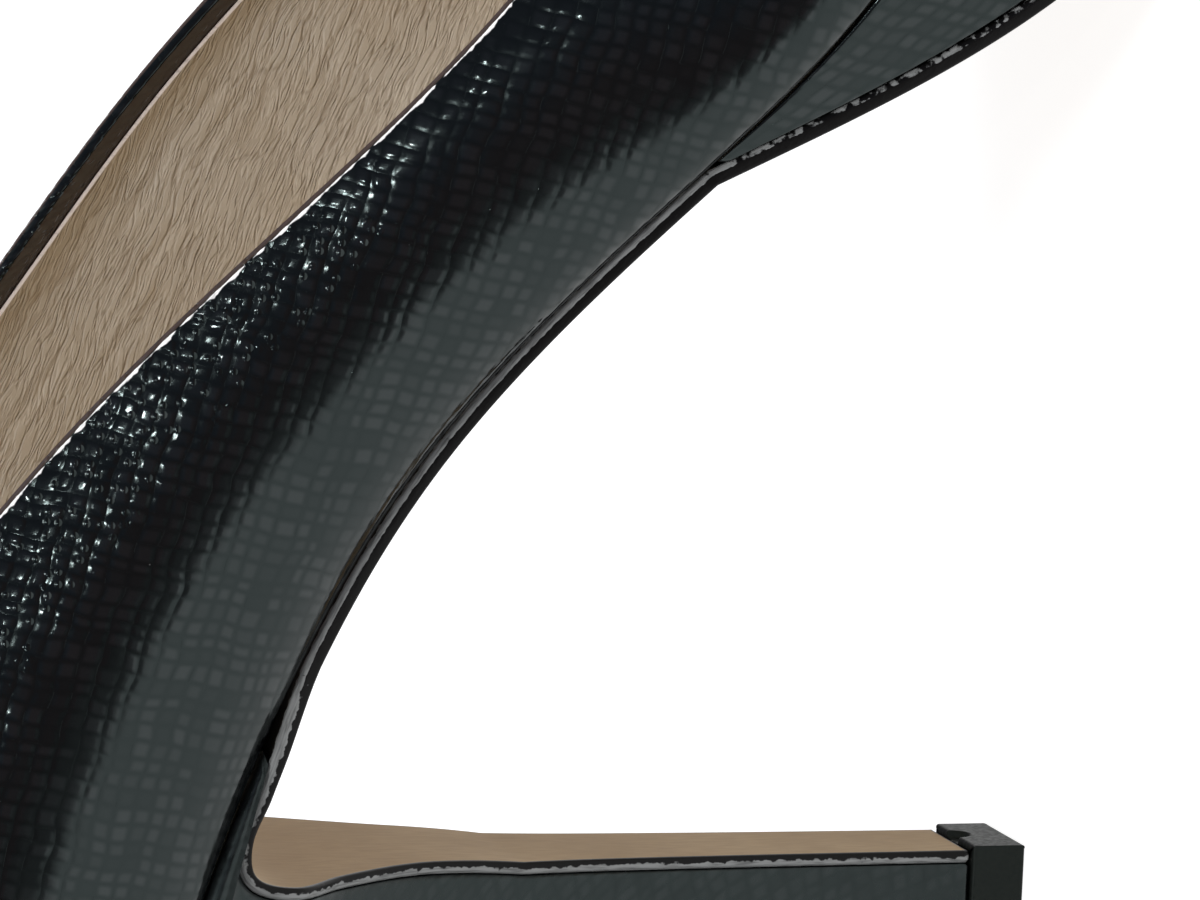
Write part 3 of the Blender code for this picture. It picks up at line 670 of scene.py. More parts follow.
def downShare(line):
    step = np.linalg.norm(np.diff(line, axis=0), axis=1)
    distance = np.concatenate(((0.0,), np.cumsum(step)))
    return distance / distance[-1]


sole = {
    "steps": 1200,
    "thickness": 1.5 * mm,
    "flapThickness": 1.15 * mm,
    "edge": 0.35 * mm,
    "sheenCut": 0.50,              # share of the painted highlight band that is taken away under the platform
    "bevel": (0.30 * mm, 0.42 * mm),    # in from the side and down from the upper face
    "stations": 420,
}


def buildSole():
    # the sole as a slab along its own path, toe to top piece: the path gives the place and the side view's normal
    length = last["length"]
    x = np.linspace(length, last["heelFront"] * length, sole["stations"])
    flap = flapLine()
    top = np.concatenate((np.column_stack((x, soleTop(x, sole["thickness"]))), flap[1:]))
    step = np.linalg.norm(np.diff(top, axis=0), axis=1)
    along = np.concatenate(((0.0,), np.cumsum(step)))
    normal = sideNormals(top)
    thick = np.full(len(top), sole["thickness"])
    down = downShare(flap)
    thick[len(x) - 1:] += (sole["flapThickness"] - sole["thickness"]) * smoothStep(down / 0.3)
    bottom = top - thick[:, None] * normal
    onGround = (top[:, 0] <= last["flatEnd"] * length) & (top[:, 0] >= last["flatStart"] * length)
    bottom[onGround, 1] = 0.0
    lateral, medial = halfWidths(x)
    half = monotone(heelColumns[0], heelColumns[1], down) * last["seatWidth"] / 2.0
    join = smoothStep(down / heel["join"])
    lateral = np.concatenate((lateral, (lateral[-1] * (1 - join) - half * join)[1:]))
    medial = np.concatenate((medial, (medial[-1] * (1 - join) + half * join)[1:]))

    # outline in path and width: toe, medial side, the straight end at the top piece, lateral side
    toeX, toeSide = featherLine(0.0, 1440).T
    front = toeX > x[20]
    toePath = along[-1] - np.interp(-toeX[front], -x, along[:len(x)])
    toe = np.column_stack((toePath, toeSide[front]))
    body = slice(21, len(top))
    path = along[-1] - along
    flapLength = path[len(x) - 1]
    across = np.linspace(1.0, -1.0, 24)[1:-1]
    end = np.column_stack((np.zeros(len(across)), half[-1] * across))
    outline = np.concatenate((toe, np.column_stack((path[body], medial[body])), end,
                              np.column_stack((path[body], lateral[body]))[::-1]))
    closed = np.concatenate((outline, outline[:1]))
    distance = np.concatenate(((0.0,), np.cumsum(np.linalg.norm(np.diff(closed, axis=0), axis=1))))
    at = np.arange(sole["steps"]) / sole["steps"] * distance[-1]
    outline = np.column_stack([np.interp(at, distance, closed[:, k]) for k in (0, 1)])

    centrePath = np.clip(outline[:, 0], half[-1], along[-1] - 14.0 * mm)
    middle = np.interp(centrePath, path[::-1], ((lateral + medial) / 2.0)[::-1])
    centre = np.column_stack((centrePath, middle))

    def place(p, y, level):
        read = [np.interp(p, path[::-1], column[::-1]) for column in (*top.T, *bottom.T)]
        topX, topZ, bottomX, bottomZ = read
        level = np.broadcast_to(level, p.shape)
        return np.stack((bottomX + (topX - bottomX) * level, y, bottomZ + (topZ - bottomZ) * level), axis=2)

    # section of the edge: a small lower corner, an upright side and a bevel that leans back to the upper
    inner = (1.0, 0.6, 0.3, 0.1, 0.03)
    rings = [(sole["edge"], share, 0.0) for share in inner]
    rings += [(sole["edge"] * (1.0 - np.sin(a)), 0.0, sole["edge"] * (1.0 - np.cos(a)) / sole["thickness"])
              for a in np.linspace(0.0, np.pi / 2.0, 6)]
    bevelIn, bevelDown = sole["bevel"]
    lowest = len(rings)
    rings += [(0.0, 0.0, 1.0 - (bevelDown + 0.12 * mm) / sole["thickness"])]
    rings += [(bevelIn * s, 0.0, 1.0 - bevelDown * (1.0 - s) / sole["thickness"]) for s in (0.06, 0.3, 0.6, 0.9)]
    rings += [(bevelIn + 0.08 * mm, 0.0, 1.0)] + [(bevelIn + 0.08 * mm, share, 1.0) for share in inner[::-1]]
    # painted highlight: the black paint turns grey on the bevel, and on more of the side round the breast
    paintedSheen = np.zeros((len(outline), len(rings)))
    paintedSheen[:, lowest + 1:lowest + 6] = 1.0
    onFlap = smoothStep((flapLength - outline[:, 0]) / (6.0 * mm))
    paintedSheen[:, lowest] = onFlap
    # under the platform only a thin broken line of it is left
    forward = np.interp(outline[:, 0], path[::-1], top[::-1, 0]) - last["platformStart"] * length
    paintedSheen *= (1.0 - sole["sheenCut"] * smoothStep(forward / (6.0 * mm) + 0.5))[:, None]
    return slab("outsole", outline, centre, rings, place, paintedSheen=paintedSheen)


def halfSection(front, side, steps):
    # half a heel section: share of its depth and half width, from the breast's edge to the back
    swell = np.linspace(0.0, 1.0, steps + 1)
    turn = np.linspace(0.0, np.pi / 2.0, steps + 1)[1:]
    full = heel["fullest"]
    depth = np.concatenate((full * swell, full + (1.0 - full) * np.sin(turn)))
    half = np.concatenate((front + (side - front) * np.sin(swell * np.pi / 2.0), side * np.cos(turn)))
    return depth, half


def ringFrom(x, halfLateral, halfMedial, z):
    lateral = np.column_stack((x, halfLateral, z))
    medial = np.column_stack((x, halfMedial, z))[-2::-1]
    return np.concatenate((lateral, medial))


def buildHeel():
    # sections from the seat down to the top piece, each between the flap and the curve of the back
    flap = flapLine()
    normals = sideNormals(flap)
    frontLine = flap + last["gap"] * 0.3 * normals
    frontLine[-1, 1] = flap[-1, 1]
    room = featherHeight(frontLine[:, 0]) - last["gap"] - frontLine[:, 1]
    first = int(np.argmax(room > heel["frontEdge"]))
    down = downShare(flap)
    share, front, side, back = heelColumns
    frontHalf = monotone(share, front, down) * last["seatWidth"] / 2.0
    sideHalf = np.maximum(monotone(share, side, down) * last["seatWidth"] / 2.0, frontHalf)
    top = np.array((0.0, featherHeight(np.zeros(1))[0] - last["gap"]))
    bottom = np.array((last["tipSetback"] - heel["tipLength"] / 2.0 + heel["tipStep"],
                       heel["tipHeight"] + last["gap"]))
    height = top[1] - bottom[1]
    startHandle = top + height * np.array((heel["backStart"][0], -heel["backStart"][1]))
    endHandle = bottom + height * np.array((-heel["backEnd"][0], heel["backEnd"][1]))
    backLine = bezier(top, startHandle, endHandle, bottom, monotone(share, back, down))
    depth, _ = halfSection(1.0, 1.0, 24)
    seatX = frontLine[first, 0] * (1.0 - depth)
    rings = [ringFrom(seatX, *halfWidths(seatX), featherHeight(seatX) - last["gap"] * 0.5)]
    for place in range(first + 1, len(flap)):
        depth, half = halfSection(frontHalf[place], sideHalf[place], 24)
        x, z = (frontLine[place] + depth[:, None] * (backLine[place] - frontLine[place])).T
        rings.append(ringFrom(x, -half, half, z))
    # the cover turns in round its lower end, by a quarter circle
    lowest = rings[-1]
    radius = heel["cornerEdge"]
    inwardPull = unit((lowest.mean(axis=0) - lowest) * np.array((1.0, 1.0, 0.0)))
    rings = [ring for ring in rings if ring[:, 2].min() > lowest[0, 2] + 1.3 * radius]
    for angle in np.linspace(0.0, np.pi / 2.0, 6):
        lift = np.array((0.0, 0.0, radius * (1.0 - np.sin(angle))))
        rings.append(lowest + radius * (1.0 - np.cos(angle)) * inwardPull + lift)
    grid = np.stack(rings)
    caps = [np.repeat(one.reshape(1, 1, 3), grid.shape[1], axis=1) for one in
            (grid[0, :, :].mean(axis=0), grid[-1, :, :].mean(axis=0))]
    grid = np.concatenate((caps[0], grid, caps[1]))
    around = np.concatenate((np.zeros((len(grid), 1)),
                             np.cumsum(np.linalg.norm(np.diff(grid, axis=1), axis=2), axis=1)), axis=1)
    around -= around[:, -1:] / 2.0
    downward = np.cumsum(np.linalg.norm(np.diff(grid[:, 24], axis=0), axis=1))
    downward = np.concatenate(((0.0,), downward))
    chart = np.stack((around, np.broadcast_to(-downward[:, None], around.shape)), axis=2)
    chart = np.concatenate((chart, chart[:, :1]), axis=1)
    return meshFromGrid("heelCover", grid, chart, wrapRound=False, weld=True)


topPiece = {
    "edge": 0.30 * mm,
    "steps": 480,
    "notchWidth": 3.2 * mm,         # a half oval at the upper edge of the front face
    "notchHeight": 1.7 * mm,
    "notchDepth": 0.7 * mm,
    "notchSide": 0.5 * mm,          # its middle, towards the inner side of the foot
}


def buildTopPiece():
    # the moulded top piece: straight front, full sides, round back, with a small sprue notch in its front face
    depth, half = halfSection(heel["tipWidth"] / 2.0 - 0.1 * mm, heel["tipWidth"] / 2.0, 30)
    x = last["tipSetback"] + heel["tipLength"] * (0.5 - depth)
    lateral = np.column_stack((x, -half))
    medial = np.column_stack((x, half))[-2::-1]
    loop = np.concatenate((lateral, medial))
    front = np.column_stack((np.full(20, x[0]), np.linspace(half[0], -half[0], 22)[1:-1]))
    loop = np.concatenate((loop, front))[::-1]
    closed = np.concatenate((loop, loop[:1]))
    distance = np.concatenate(((0.0,), np.cumsum(np.linalg.norm(np.diff(closed, axis=0), axis=1))))
    at = np.arange(topPiece["steps"]) / topPiece["steps"] * distance[-1]
    outline = np.column_stack([np.interp(at, distance, closed[:, k]) for k in (0, 1)])
    centre = np.column_stack((np.clip(outline[:, 0], x.min() + 4.0 * mm, x.max() - 4.0 * mm),
                              np.zeros(len(outline))))

    def place(px, py, level):
        # the front face sinks by the notch's depth times a steep step of the oval 1 - across2 - down2
        z = heel["tipHeight"] * np.broadcast_to(level, px.shape)
        across = (py - topPiece["notchSide"]) / (topPiece["notchWidth"] / 2.0)
        down = (heel["tipHeight"] - z) / topPiece["notchHeight"]
        sunk = smoothStep((1.0 - across ** 2 - down ** 2) / 0.45) * (px > x.max() - 0.5 * topPiece["notchWidth"])
        return np.stack((px - topPiece["notchDepth"] * sunk, py, z), axis=2)

    rings = roundedSection(topPiece["edge"], heel["tipHeight"], (1.0, 0.5, 0.3), sideSteps=34)
    return slab("topPiece", outline, centre, rings, place)


# Finishes
def newMaterial(name):
    made = bpy.data.materials.new(name)
    made.use_nodes = True
    tree = made.node_tree
    return made, tree, tree.nodes["Principled BSDF"]


def plug(tree, socket, value):
    if isinstance(value, bpy.types.NodeSocket):
        tree.links.new(value, socket)
    else:
        socket.default_value = value


def maths(tree, operation, *values, clamp=False):
    made = tree.nodes.new("ShaderNodeMath")
    made.operation = operation
    made.use_clamp = clamp
    for socket, value in zip(made.inputs, values):
        plug(tree, socket, value)
    return made.outputs[0]


def spread(tree, value, low, high, toLow=0.0, toHigh=1.0, smooth=True):
    made = tree.nodes.new("ShaderNodeMapRange")
    made.interpolation_type = "SMOOTHSTEP" if smooth else "LINEAR"
    for name, given in (("Value", value), ("From Min", low), ("From Max", high), ("To Min", toLow),
                        ("To Max", toHigh)):
        plug(tree, made.inputs[name], given)
    return made.outputs["Result"]


def noise(tree, vector, scale, detail=2.0, roughness=0.5, distortion=0.0):
    made = tree.nodes.new("ShaderNodeTexNoise")
    plug(tree, made.inputs["Vector"], vector)
    made.inputs["Scale"].default_value = scale
    made.inputs["Detail"].default_value = detail
    made.inputs["Roughness"].default_value = roughness
    made.inputs["Distortion"].default_value = distortion
    return made.outputs["Fac"]


def mixColours(tree, factor, one, other):
    made = tree.nodes.new("ShaderNodeMix")
    made.data_type = "RGBA"
    plug(tree, made.inputs["Factor"], factor)
    plug(tree, made.inputs["A"], (*one, 1.0) if isinstance(one, tuple) else one)
    plug(tree, made.inputs["B"], (*other, 1.0) if isinstance(other, tuple) else other)
    return made.outputs["Result"]


def turned(tree, vector, angle, scale):
    made = tree.nodes.new("ShaderNodeMapping")
    plug(tree, made.inputs["Vector"], vector)
    made.inputs["Rotation"].default_value = (0.0, 0.0, angle)
    made.inputs["Scale"].default_value = scale
    return made.outputs["Vector"]


def flatPlace(tree):
    made = tree.nodes.new("ShaderNodeUVMap")
    made.uv_map = "flat"
    return made.outputs["UV"]


def objectPlace(tree):
    return tree.nodes.new("ShaderNodeTexCoord").outputs["Object"]


def bump(tree, shader, height, distance, sockets=("Normal",)):
    made = tree.nodes.new("ShaderNodeBump")
    made.inputs["Distance"].default_value = distance
    plug(tree, made.inputs["Height"], height)
    for name in sockets:
        plug(tree, shader.inputs[name], made.outputs["Normal"])


def markRead(tree, name):
    made = tree.nodes.new("ShaderNodeAttribute")
    made.attribute_name = name
    return made.outputs["Fac"]


emboss = {
    "turn": np.radians(12.0),       # the rows' direction against the shoe's length
    "cell": (1.40 * mm, 1.62 * mm), # along a row and from row to row
    "wander": 0.40,                 # how far rows wander, in cells
    "uneven": 0.60,                 # how much the widths differ
    "border": 0.34,                 # share of a cell that rounds off at each side
    "dome": 2.0,                    # how much a cell's face swells
    "lean": 0.6,                    # how much a cell leans its own way
    "beads": (1.05 * mm, 0.34 * mm, 3.0),   # round beads near the topline: spacing, radius, height
    "depth": 0.045 * mm,
    "least": 0.20,                  # share of the depth that is left where the leather is pulled flat
}


def stripes(tree, across, uneven):
    # uneven stripes along one direction: distance to the nearest border, distance from the stripe's own middle,
    # and a number of its own
    edge = tree.nodes.new("ShaderNodeTexVoronoi")
    edge.voronoi_dimensions = "1D"
    edge.feature = "DISTANCE_TO_EDGE"
    own = tree.nodes.new("ShaderNodeTexVoronoi")
    own.voronoi_dimensions = "1D"
    for made in (edge, own):
        plug(tree, made.inputs["W"], across)
        made.inputs["Scale"].default_value = 1.0
        made.inputs["Randomness"].default_value = uneven
    number = tree.nodes.new("ShaderNodeSeparateColor")
    plug(tree, number.inputs["Color"], own.outputs["Color"])
    return edge.outputs["Distance"], maths(tree, "SUBTRACT", across, own.outputs["W"]), number.outputs["Red"]


def embossHeight(tree, place, settings):
    # Pressed leather: rows and columns of small rounded rectangles of uneven size. Each swells a little, rises to
    # its own height and leans its own way.
    lattice = turned(tree, place, settings["turn"], (1.0 / settings["cell"][0], 1.0 / settings["cell"][1], 1.0))
    split = tree.nodes.new("ShaderNodeSeparateXYZ")
    plug(tree, split.inputs["Vector"], lattice)
    wanderU = noise(tree, turned(tree, lattice, 0.0, (0.18, 0.35, 1.0)), 1.0, 1.5)
    wanderV = noise(tree, turned(tree, lattice, 0.7, (0.35, 0.18, 1.0)), 1.0, 1.5)
    u = maths(tree, "MULTIPLY_ADD", wanderU, 2.0 * settings["wander"], split.outputs["X"])
    v = maths(tree, "MULTIPLY_ADD", wanderV, 2.0 * settings["wander"], split.outputs["Y"])
    edgeU, middleU, numberU = stripes(tree, u, settings["uneven"])
    edgeV, middleV, numberV = stripes(tree, v, settings["uneven"])
    cell = tree.nodes.new("ShaderNodeCombineXYZ")
    plug(tree, cell.inputs["X"], maths(tree, "MULTIPLY", numberU, 91.7))
    plug(tree, cell.inputs["Y"], maths(tree, "MULTIPLY", numberV, 57.3))
    chance = tree.nodes.new("ShaderNodeTexWhiteNoise")
    chance.noise_dimensions = "2D"
    plug(tree, chance.inputs["Vector"], cell.outputs["Vector"])
    chances = tree.nodes.new("ShaderNodeSeparateColor")
    plug(tree, chances.inputs["Color"], chance.outputs["Color"])
    pillow = maths(tree, "MULTIPLY", spread(tree, edgeU, 0.0, settings["border"]),
                   spread(tree, edgeV, 0.0, settings["border"]))
    leanU = maths(tree, "MULTIPLY", maths(tree, "SUBTRACT", chances.outputs["Red"], 0.5), middleU)
    leanV = maths(tree, "MULTIPLY", maths(tree, "SUBTRACT", chances.outputs["Green"], 0.5), middleV)
    lean = maths(tree, "MULTIPLY", maths(tree, "ADD", leanU, leanV), 2.0 * settings["lean"])
    fromMiddle = maths(tree, "ADD", maths(tree, "MULTIPLY", middleU, middleU),
                       maths(tree, "MULTIPLY", middleV, middleV))
    face = maths(tree, "MULTIPLY_ADD", fromMiddle, -settings["dome"], lean)
    rise = maths(tree, "MULTIPLY_ADD", chances.outputs["Blue"], 0.35, 0.65)
    # each cell's own tone, 0 to 1, strongest on cells that stand high and nothing in the grooves
    shade = maths(tree, "MULTIPLY", pillow, spread(tree, chances.outputs["Blue"], -0.2, 1.0))
    return maths(tree, "MULTIPLY_ADD", pillow, rise, face), shade


def patentLeather(name, settings, roughness=0.12, coat=0.30):
    made, tree, shader = newMaterial(name)
    place = flatPlace(tree)
    height, shade = embossHeight(tree, place, settings)
    fine = noise(tree, place, 2600.0, 3.0)
    swell = noise(tree, place, 120.0, 1.0)
    patches = spread(tree, noise(tree, place, 190.0, 2.0), 0.35, 0.70, 0.45, 1.25)
    pulled = maths(tree, "MULTIPLY", maths(tree, "MAXIMUM", markRead(tree, "relief"), settings["least"]), patches)
    height = maths(tree, "MULTIPLY", height, pulled)
    if settings["beads"]:
        # round beads where the relief is strongest: 1 - (distance / radius) squared
        spacing, radius, rise = settings["beads"]
        beads = tree.nodes.new("ShaderNodeTexVoronoi")
        beads.voronoi_dimensions = "2D"
        beads.inputs["Scale"].default_value = 1.0 / spacing
        beads.inputs["Randomness"].default_value = 0.65
        plug(tree, beads.inputs["Vector"], place)
        far = maths(tree, "MULTIPLY", beads.outputs["Distance"], spacing / radius)
        bead = maths(tree, "MAXIMUM", maths(tree, "MULTIPLY_ADD", maths(tree, "MULTIPLY", far, far), -1.0, 1.0), 0.0)
        kept = tree.nodes.new("ShaderNodeSeparateColor")
        plug(tree, kept.inputs["Color"], beads.outputs["Color"])
        bead = maths(tree, "MULTIPLY", bead, spread(tree, kept.outputs["Red"], 0.45, 0.75))
        bead = maths(tree, "MULTIPLY", bead, spread(tree, markRead(tree, "relief"), 0.75, 1.0, 0.0, rise))
        height = maths(tree, "ADD", height, bead)
    height = maths(tree, "MULTIPLY_ADD", fine, 0.02, height)
    height = maths(tree, "MULTIPLY_ADD", swell, 1.2, height)
    # partly each cell's own random tone, partly painted shade: the grooves between the cells take the darker black
    black = mixColours(tree, shade, (0.0012, 0.0012, 0.0014), (0.0040, 0.0040, 0.0046))
    # painted highlight: a ragged near-white line along the fold's outer corner
    jagged = maths(tree, "MULTIPLY_ADD", maths(tree, "SUBTRACT", noise(tree, place, 750.0, 2.0), 0.5), 2.3,
                   markRead(tree, "paintedHighlight"))
    bright = spread(tree, jagged, 0.70, 0.95)
    black = mixColours(tree, spread(tree, markRead(tree, "brown"), 0.3, 0.7), black, (0.045, 0.027, 0.018))
    plug(tree, shader.inputs["Base Color"], mixColours(tree, bright, black, (0.90, 0.88, 0.86)))
    rough = spread(tree, noise(tree, place, 500.0, 2.0), 0.3, 0.7, roughness * 0.8, roughness * 1.3)
    plug(tree, shader.inputs["Roughness"], rough)
    shader.inputs["IOR"].default_value = 1.43
    shader.inputs["Specular Tint"].default_value = (0.80, 1.0, 0.98, 1.0)
    plug(tree, shader.inputs["Coat Weight"], maths(tree, "MULTIPLY", shade, coat))
    shader.inputs["Coat Roughness"].default_value = 0.04
    bump(tree, shader, height, settings["depth"], ("Normal", "Coat Normal"))
    return made


def liningLeather(name, edged=True):
    # pale leather with fine pulled wrinkles along one way and painted shade along them, browner just under the
    # topline, with a painted highlight on the cut edge
    made, tree, shader = newMaterial(name)
    place = flatPlace(tree)
    bend = noise(tree, place, 90.0, 2.0)
    along = turned(tree, place, np.radians(-18.5), (1.0, 1.0, 1.0))
    split = tree.nodes.new("ShaderNodeSeparateXYZ")
    plug(tree, split.inputs["Vector"], along)
    bent = tree.nodes.new("ShaderNodeCombineXYZ")
    plug(tree, bent.inputs["X"], split.outputs["X"])
    plug(tree, bent.inputs["Y"], maths(tree, "MULTIPLY_ADD", bend, 2.4 * mm, split.outputs["Y"]))
    fine = noise(tree, turned(tree, bent.outputs["Vector"], 0.0, (230.0, 1250.0, 1.0)), 1.0, 2.5, 0.55)
    long = noise(tree, turned(tree, bent.outputs["Vector"], 0.10, (110.0, 620.0, 1.0)), 1.0, 1.5, 0.5)
    creaseFine = maths(tree, "ABSOLUTE", maths(tree, "SUBTRACT", fine, 0.5))
    creaseLong = maths(tree, "ABSOLUTE", maths(tree, "SUBTRACT", long, 0.5))
    height = maths(tree, "ADD", spread(tree, creaseFine, 0.0, 0.11, 0.0, 0.8),
                   spread(tree, creaseLong, 0.0, 0.035, 0.0, 0.7))
    grain = noise(tree, place, 3800.0, 2.0)
    height = maths(tree, "MULTIPLY_ADD", grain, 0.10, height)
    tone = noise(tree, place, 45.0, 2.0)
    colour = mixColours(tree, spread(tree, tone, 0.35, 0.7), (0.50, 0.405, 0.29), (0.56, 0.475, 0.365))
    # painted shade: darker along the troughs of the wrinkles
    colour = mixColours(tree, spread(tree, creaseFine, 0.0, 0.05, 0.22, 0.0), colour, (0.28, 0.20, 0.13))
    colour = mixColours(tree, spread(tree, creaseLong, 0.0, 0.02, 0.35, 0.0), colour, (0.28, 0.20, 0.13))
    if edged:
        depth = markRead(tree, "underTopline")
        colour = mixColours(tree, spread(tree, depth, 2.8, 9.0, 0.75, 0.0), colour, (0.36, 0.265, 0.155))
        # painted highlight: a pale pinkish band on the lining's cut edge
        colour = mixColours(tree, spread(tree, depth, 2.55, 2.75, 1.0, 0.0), colour, (0.80, 0.68, 0.59))
    plug(tree, shader.inputs["Base Color"], colour)
    plug(tree, shader.inputs["Roughness"], spread(tree, grain, 0.3, 0.7, 0.46, 0.60))
    shader.inputs["Specular IOR Level"].default_value = 0.35
    bump(tree, shader, height, 0.11 * mm)
    return made


def soleLeather():
    # smooth sole leather below and on the breast, black paint round the edge
    made, tree, shader = newMaterial("soleLeather")
    place = flatPlace(tree)
    body = objectPlace(tree)
    ragged = maths(tree, "MULTIPLY_ADD", noise(tree, body, 900.0, 2.0), 0.5, markRead(tree, "edge"))
    paint = spread(tree, ragged, 0.85, 1.0)
    tone = noise(tree, place, 70.0, 3.0)
    fibre = noise(tree, turned(tree, place, 0.0, (400.0, 1600.0, 1.0)), 1.0, 3.0)
    leather = mixColours(tree, spread(tree, tone, 0.3, 0.7), (0.318, 0.220, 0.115), (0.372, 0.266, 0.147))
    leather = mixColours(tree, spread(tree, fibre, 0.3, 0.75, 0.0, 0.35), leather, (0.225, 0.150, 0.08))
    # painted highlight on the edge paint: grey streaks along the edge, ragged at both sides
    streak = noise(tree, turned(tree, place, 0.0, (450.0, 3800.0, 1.0)), 1.0, 2.0)
    ragged = maths(tree, "MULTIPLY_ADD", maths(tree, "SUBTRACT", noise(tree, body, 1300.0, 3.0), 0.5), 1.9,
                   markRead(tree, "paintedSheen"))
    paintedSheen = spread(tree, ragged, 0.45, 0.68)
    black = mixColours(tree, maths(tree, "MULTIPLY", paintedSheen, spread(tree, streak, 0.25, 0.60, 0.45, 1.0)),
                       (0.0028, 0.0026, 0.0025), (0.215, 0.22, 0.215))
    plug(tree, shader.inputs["Base Color"], mixColours(tree, paint, leather, black))
    plug(tree, shader.inputs["Roughness"], spread(tree, paint, 0.0, 1.0, 0.60, 0.30))
    height = maths(tree, "MULTIPLY_ADD", noise(tree, body, 2200.0, 2.0), 0.5, fibre)
    shader.inputs["Specular IOR Level"].default_value = 0.12
    bump(tree, shader, height, 0.03 * mm)
    return made


def stripLeather():
    made, tree, shader = newMaterial("stripLeather")
    place = flatPlace(tree)
    tone = noise(tree, turned(tree, place, 0.0, (500.0, 160.0, 1.0)), 1.0, 3.0)
    plug(tree, shader.inputs["Base Color"], mixColours(tree, tone, (0.010, 0.007, 0.006), (0.030, 0.020, 0.016)))
    plug(tree, shader.inputs["Roughness"], spread(tree, tone, 0.3, 0.7, 0.30, 0.42))
    bump(tree, shader, tone, 0.06 * mm)
    return made


def topPieceRubber():
    made, tree, shader = newMaterial("topPieceRubber")
    place = objectPlace(tree)
    grain = noise(tree, place, 2400.0, 3.0)
    speck = noise(tree, place, 1400.0, 1.0)
    colour = mixColours(tree, grain, (0.006, 0.0075, 0.007), (0.014, 0.016, 0.014))
    colour = mixColours(tree, spread(tree, speck, 0.74, 0.78), colour, (0.10, 0.10, 0.09))
    plug(tree, shader.inputs["Base Color"], colour)
    plug(tree, shader.inputs["Roughness"], spread(tree, grain, 0.3, 0.7, 0.36, 0.50))
    shader.inputs["Specular IOR Level"].default_value = 0.10
    shader.inputs["Specular Tint"].default_value = (0.85, 1.0, 0.93, 1.0)
    bump(tree, shader, grain, 0.03 * mm)
    return made


def floorPaper():
    # pale floor with a painted pool of light: it glows and is paler in a wide round pool that ends softly, and beyond
    # it is darker and glows faintly
    made, tree, shader = newMaterial("floorPaper")
    split = tree.nodes.new("ShaderNodeSeparateXYZ")
    plug(tree, split.inputs["Vector"], objectPlace(tree))
    (poolX, poolY), inner, outer = studio["pool"]
    awayX = maths(tree, "SUBTRACT", split.outputs["X"], poolX)
    awayY = maths(tree, "SUBTRACT", split.outputs["Y"], poolY)
    away = maths(tree, "SQRT", maths(tree, "ADD", maths(tree, "MULTIPLY", awayX, awayX),
                                     maths(tree, "MULTIPLY", awayY, awayY)))
    near = spread(tree, away, inner, outer, 1.0, 0.0)
    # painted light: colour and glow are highest in the pool
    plug(tree, shader.inputs["Base Color"], mixColours(tree, near, (0.10, 0.10, 0.10), (0.36, 0.36, 0.36)))
    shader.inputs["Emission Color"].default_value = (1.0, 1.0, 1.0, 1.0)
    plug(tree, shader.inputs["Emission Strength"], spread(tree, near, 0.0, 1.0, 0.10, 0.86, smooth=False))
    shader.inputs["Roughness"].default_value = 0.9
    shader.inputs["Specular IOR Level"].default_value = 0.1
    return made


# The view and the light
studio = {
    "azimuth": 9.0,
    "elevation": 18.0,
    "aim": (0.03952, 0.01285, 0.03661),
    "distance": 0.700,
    "lens": 231.0,
    "floor": 8.0,
    "pool": ((0.03, 0.26), 0.60, 0.84),     # its middle, and where it starts to fade and ends
    "lowestSky": (0.215, 0.16, 0.17),   # at the horizon, and from there on
    "lowSky": (0.165, 0.185, 0.24), # up to the first height, a sine, and above the second one
    "highSky": (0.9, 0.92, 0.95),
    "lowTurn": (0.10, 0.32),
    "skyTurn": (0.62, 0.93),
    "lights": (                     # name, place, size, watts
        ("overhead", (0.10, 0.05, 2.1), 0.9, 24.0),
        ("frontTop", (0.20, -1.25, 1.75), 0.32, 16.0),
        ("frontLeft", (-0.55, -1.9, 1.15), 0.07, 2.6),
        ("frontRight", (0.45, -1.95, 1.05), 0.06, 2.2),
    ),
}


def addCamera():
    # the photographer's angle to the shoe, with the camera rolled so that the shoe's down is the picture's right
    a, e = np.radians(studio["azimuth"]), np.radians(studio["elevation"])
    back = Vector((np.sin(a) * np.cos(e), -np.cos(a) * np.cos(e), np.sin(e)))
    right = Vector((np.cos(a), np.sin(a), 0.0))
    up = back.cross(right)
    data = bpy.data.cameras.new("camera")
    data.lens = studio["lens"]
    data.sensor_width = 36.0
    data.clip_start = 0.05
    data.clip_end = 50.0
    made = bpy.data.objects.new("camera", data)
    bpy.context.scene.collection.objects.link(made)
    turn = Matrix((-up, right, back)).transposed().to_4x4()
    made.matrix_world = Matrix.Translation(Vector(studio["aim"]) + back * studio["distance"]) @ turn
    bpy.context.scene.camera = made


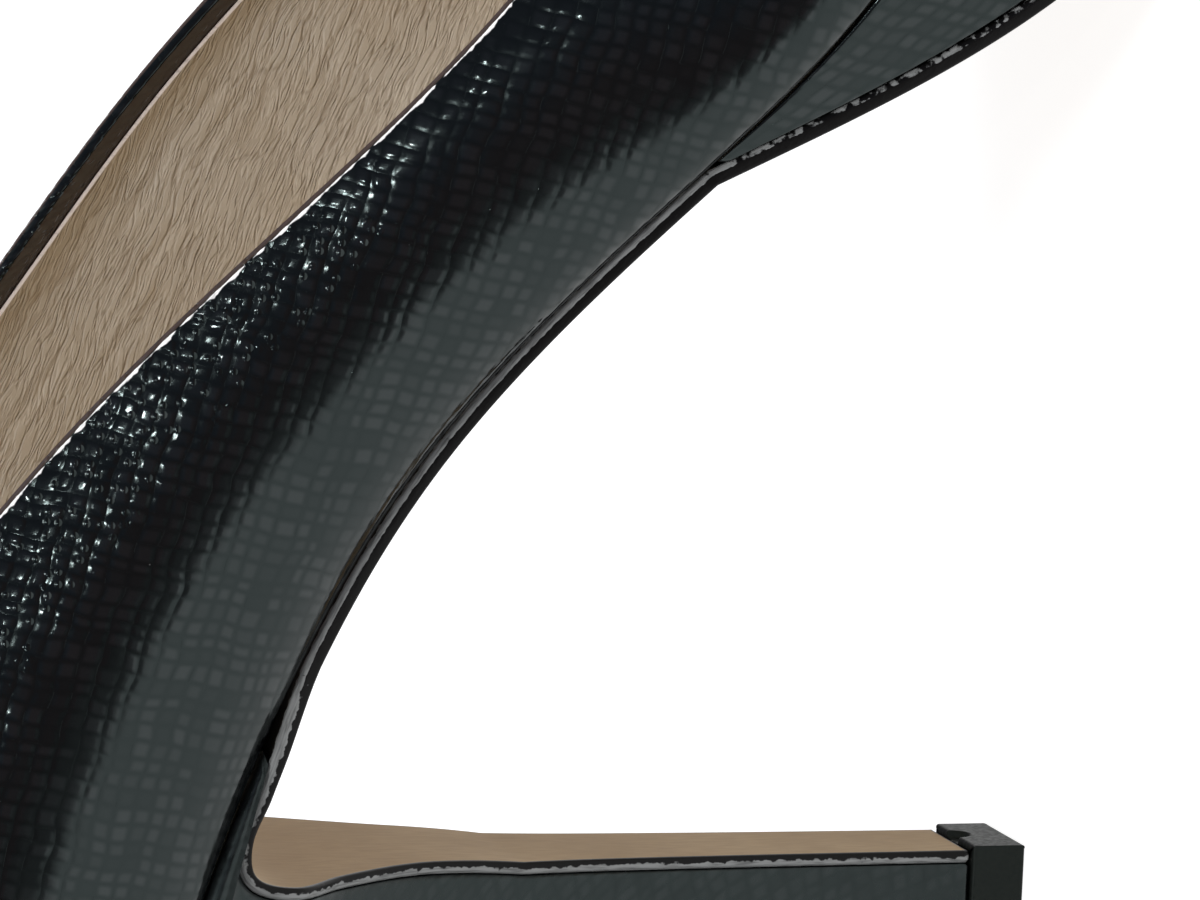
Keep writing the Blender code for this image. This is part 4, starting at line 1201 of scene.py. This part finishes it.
def addLights():
    for name, place, size, watts in studio["lights"]:
        data = bpy.data.lights.new(name, "AREA")
        data.size = size
        data.energy = watts
        made = bpy.data.objects.new(name, data)
        made.location = place
        aim = Vector((0.05, 0.0, 0.05)) - Vector(place)
        made.rotation_mode = "QUATERNION"
        made.rotation_quaternion = aim.to_track_quat("-Z", "Y")
        bpy.context.scene.collection.objects.link(made)


def addFloor():
    half = studio["floor"]
    mesh = bpy.data.meshes.new("floor")
    mesh.from_pydata([(-half, -half, 0.0), (half, -half, 0.0), (half, half, 0.0), (-half, half, 0.0)], [],
                     [(0, 1, 2, 3)])
    mesh.materials.append(floorPaper())
    made = bpy.data.objects.new("floor", mesh)
    bpy.context.scene.collection.objects.link(made)


def addWorld():
    # dark round the horizon, so that the patent stays black there, and bright overhead
    world = bpy.data.worlds.new("studio")
    world.use_nodes = True
    tree = world.node_tree
    direction = tree.nodes.new("ShaderNodeTexCoord").outputs["Generated"]
    split = tree.nodes.new("ShaderNodeSeparateXYZ")
    plug(tree, split.inputs["Vector"], direction)
    height = spread(tree, split.outputs["Z"], *studio["skyTurn"])
    low = mixColours(tree, spread(tree, split.outputs["Z"], *studio["lowTurn"]), studio["lowestSky"], studio["lowSky"])
    sky = mixColours(tree, height, low, studio["highSky"])
    plug(tree, tree.nodes["Background"].inputs["Color"], sky)
    bpy.context.scene.world = world
    bpy.context.scene.view_settings.view_transform = "Standard"


addCamera()
addLights()
addFloor()
addWorld()
print("studio ready")

flat = flatPattern()
print("flat pattern laid")
patent = patentLeather("patentLeather", emboss)
lining = liningLeather("liningLeather")
dress(buildUpper(flat), patent, "patent_leather", "upper")
dress(buildLining(flat), lining, "lining_leather")
dress(buildStrip(flat), stripLeather(), "lining_leather")
dress(buildPlatform(), patent, "patent_leather", "platform")
dress(buildInsole(), liningLeather("sockLeather", False), "lining_leather", "insole")
dress(buildSole(), soleLeather(), "sole_leather", "outsole")
dress(buildHeel(), patentLeather("heelCover", dict(emboss, depth=0.03 * mm, beads=None), 0.30, 0.1), "heel_cover", "heel")
dress(buildTopPiece(), topPieceRubber(), "top_piece", "heel_tip")
